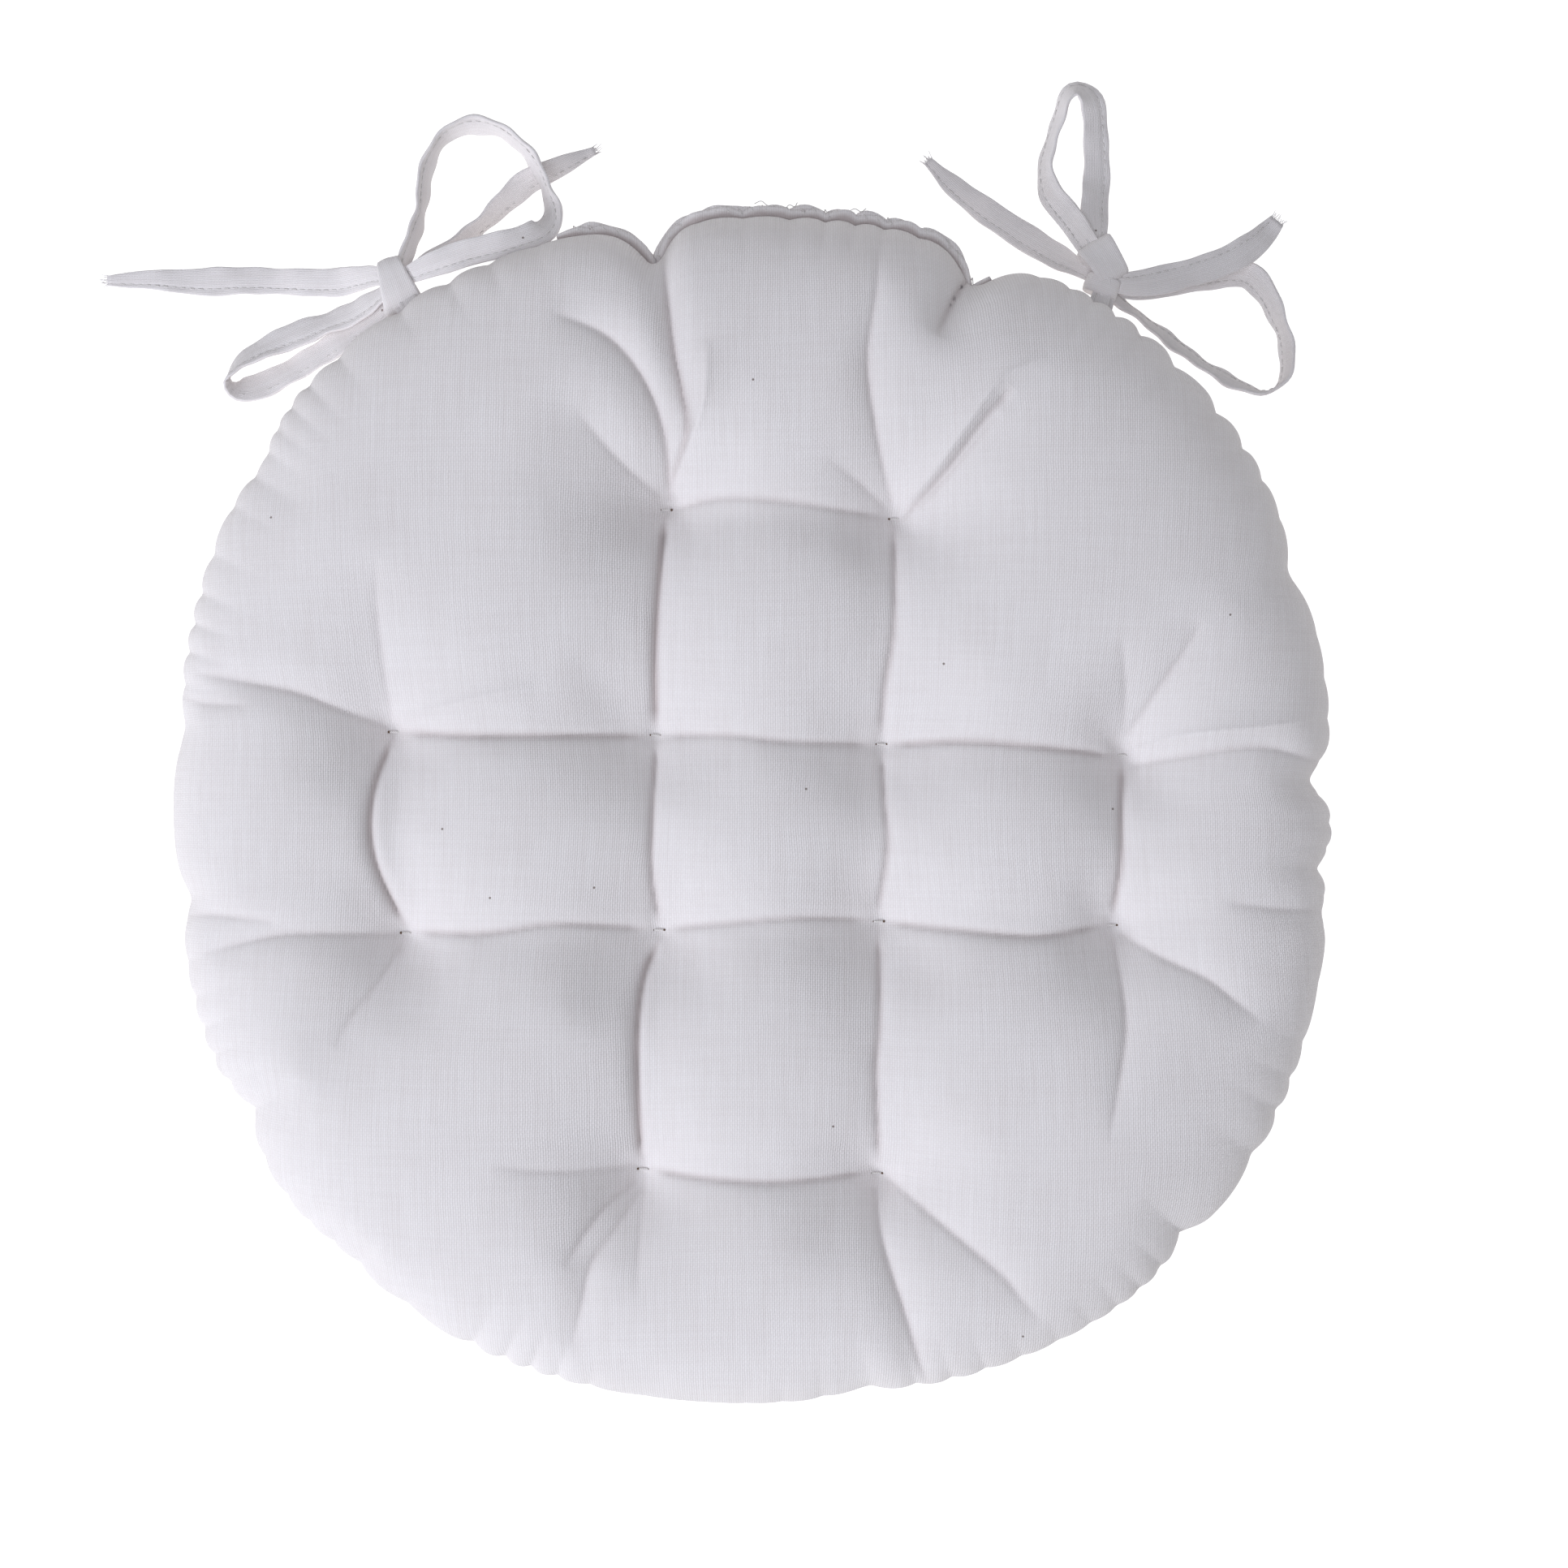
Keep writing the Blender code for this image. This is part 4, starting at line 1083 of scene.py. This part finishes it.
def build_needle_holes():
    """The pricked holes at both ends of each tuft's bar: small dark cones, a painted shadow of the holes on
    the cloth.
    """
    material, _ = plain_material("needle_hole_shadow", (0.12, 0.075, 0.05, 1), 1.0)
    shape = bmesh.new()
    for tuft in TUFT_POINTS:
        for end in (-1, 1):
            for side in (-1, 1):
                height = SEAM_HEIGHT + side * (TUFT_HEIGHT + 0.0002)
                place = Matrix.Translation((tuft.x + end * (TUFT_BAR / 2 + 0.0004), tuft.y, height))
                bmesh.ops.create_cone(
                    shape, cap_ends=True, segments=8, radius1=0.00055, radius2=0.00035,
                    depth=0.0010, matrix=place,
                )
    piece = add_piece("needle_holes", mesh_from(shape, "needle_holes"), material, "pad")


def dress_tufts(thread):
    for number in range(1, len(TUFTS) + 1):
        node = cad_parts[f"tuft_{number:02d}"]
        for slot in node.material_slots:
            slot.link = "OBJECT"
            slot.material = thread


# ---------------------------------------------------------------- room

def build_room():
    shape = bmesh.new()
    bmesh.ops.create_grid(shape, x_segments=1, y_segments=1, size=4.0)
    mesh = mesh_from(shape, "floor")
    material, shader = plain_material("pale_floor", (0.30, 0.30, 0.30, 1), 0.9)
    shader.inputs["Emission Color"].default_value = (1, 1, 1, 1)
    shader.inputs["Emission Strength"].default_value = 0.97
    mesh.materials.append(material)
    floor = bpy.data.objects.new("floor", mesh)
    bpy.context.scene.collection.objects.link(floor)


LAMP_COLOUR = (0.885, 0.92, 1.0)


def soft_light(name, place, size, power):
    """A round lamp that faces the middle of the pad."""
    data = bpy.data.lights.new(name, "AREA")
    data.shape = "DISK"
    data.size = size
    data.energy = power
    data.color = LAMP_COLOUR
    light = bpy.data.objects.new(name, data)
    light.location = place
    light.rotation_euler = (-Vector(place)).to_track_quat("-Z", "Y").to_euler()
    bpy.context.scene.collection.objects.link(light)


def build_lights():
    soft_light("key", (-1.5, -1.1, 1.25), 0.9, 28)
    soft_light("top_fill", (-0.3, -0.3, 2.4), 1.8, 29)
    world = bpy.data.worlds.new("studio")
    world.use_nodes = True
    sky = world.node_tree.nodes["Background"]
    sky.inputs["Color"].default_value = (0.94, 0.96, 1.0, 1)
    sky.inputs["Strength"].default_value = 0.25
    bpy.context.scene.world = world
    bpy.context.scene.view_settings.view_transform = "Standard"


# ---------------------------------------------------------------- build

place_camera()
tape = canvas_cloth("tie_canvas", TIE_WEAVE)
canvas = canvas_cloth("cover_canvas", COVER_WEAVE)
thread = thread_cotton("tuft_cotton", (0.76, 0.73, 0.71, 1))
build_ties(tape, thread)
inner = build_cover(canvas)
build_filling(inner, fibre_fill("polyester_fibre"))
build_seam_thread(thread)
build_lip(canvas, thread)
build_needle_holes()
dress_tufts(thread)
build_room()
build_lights()
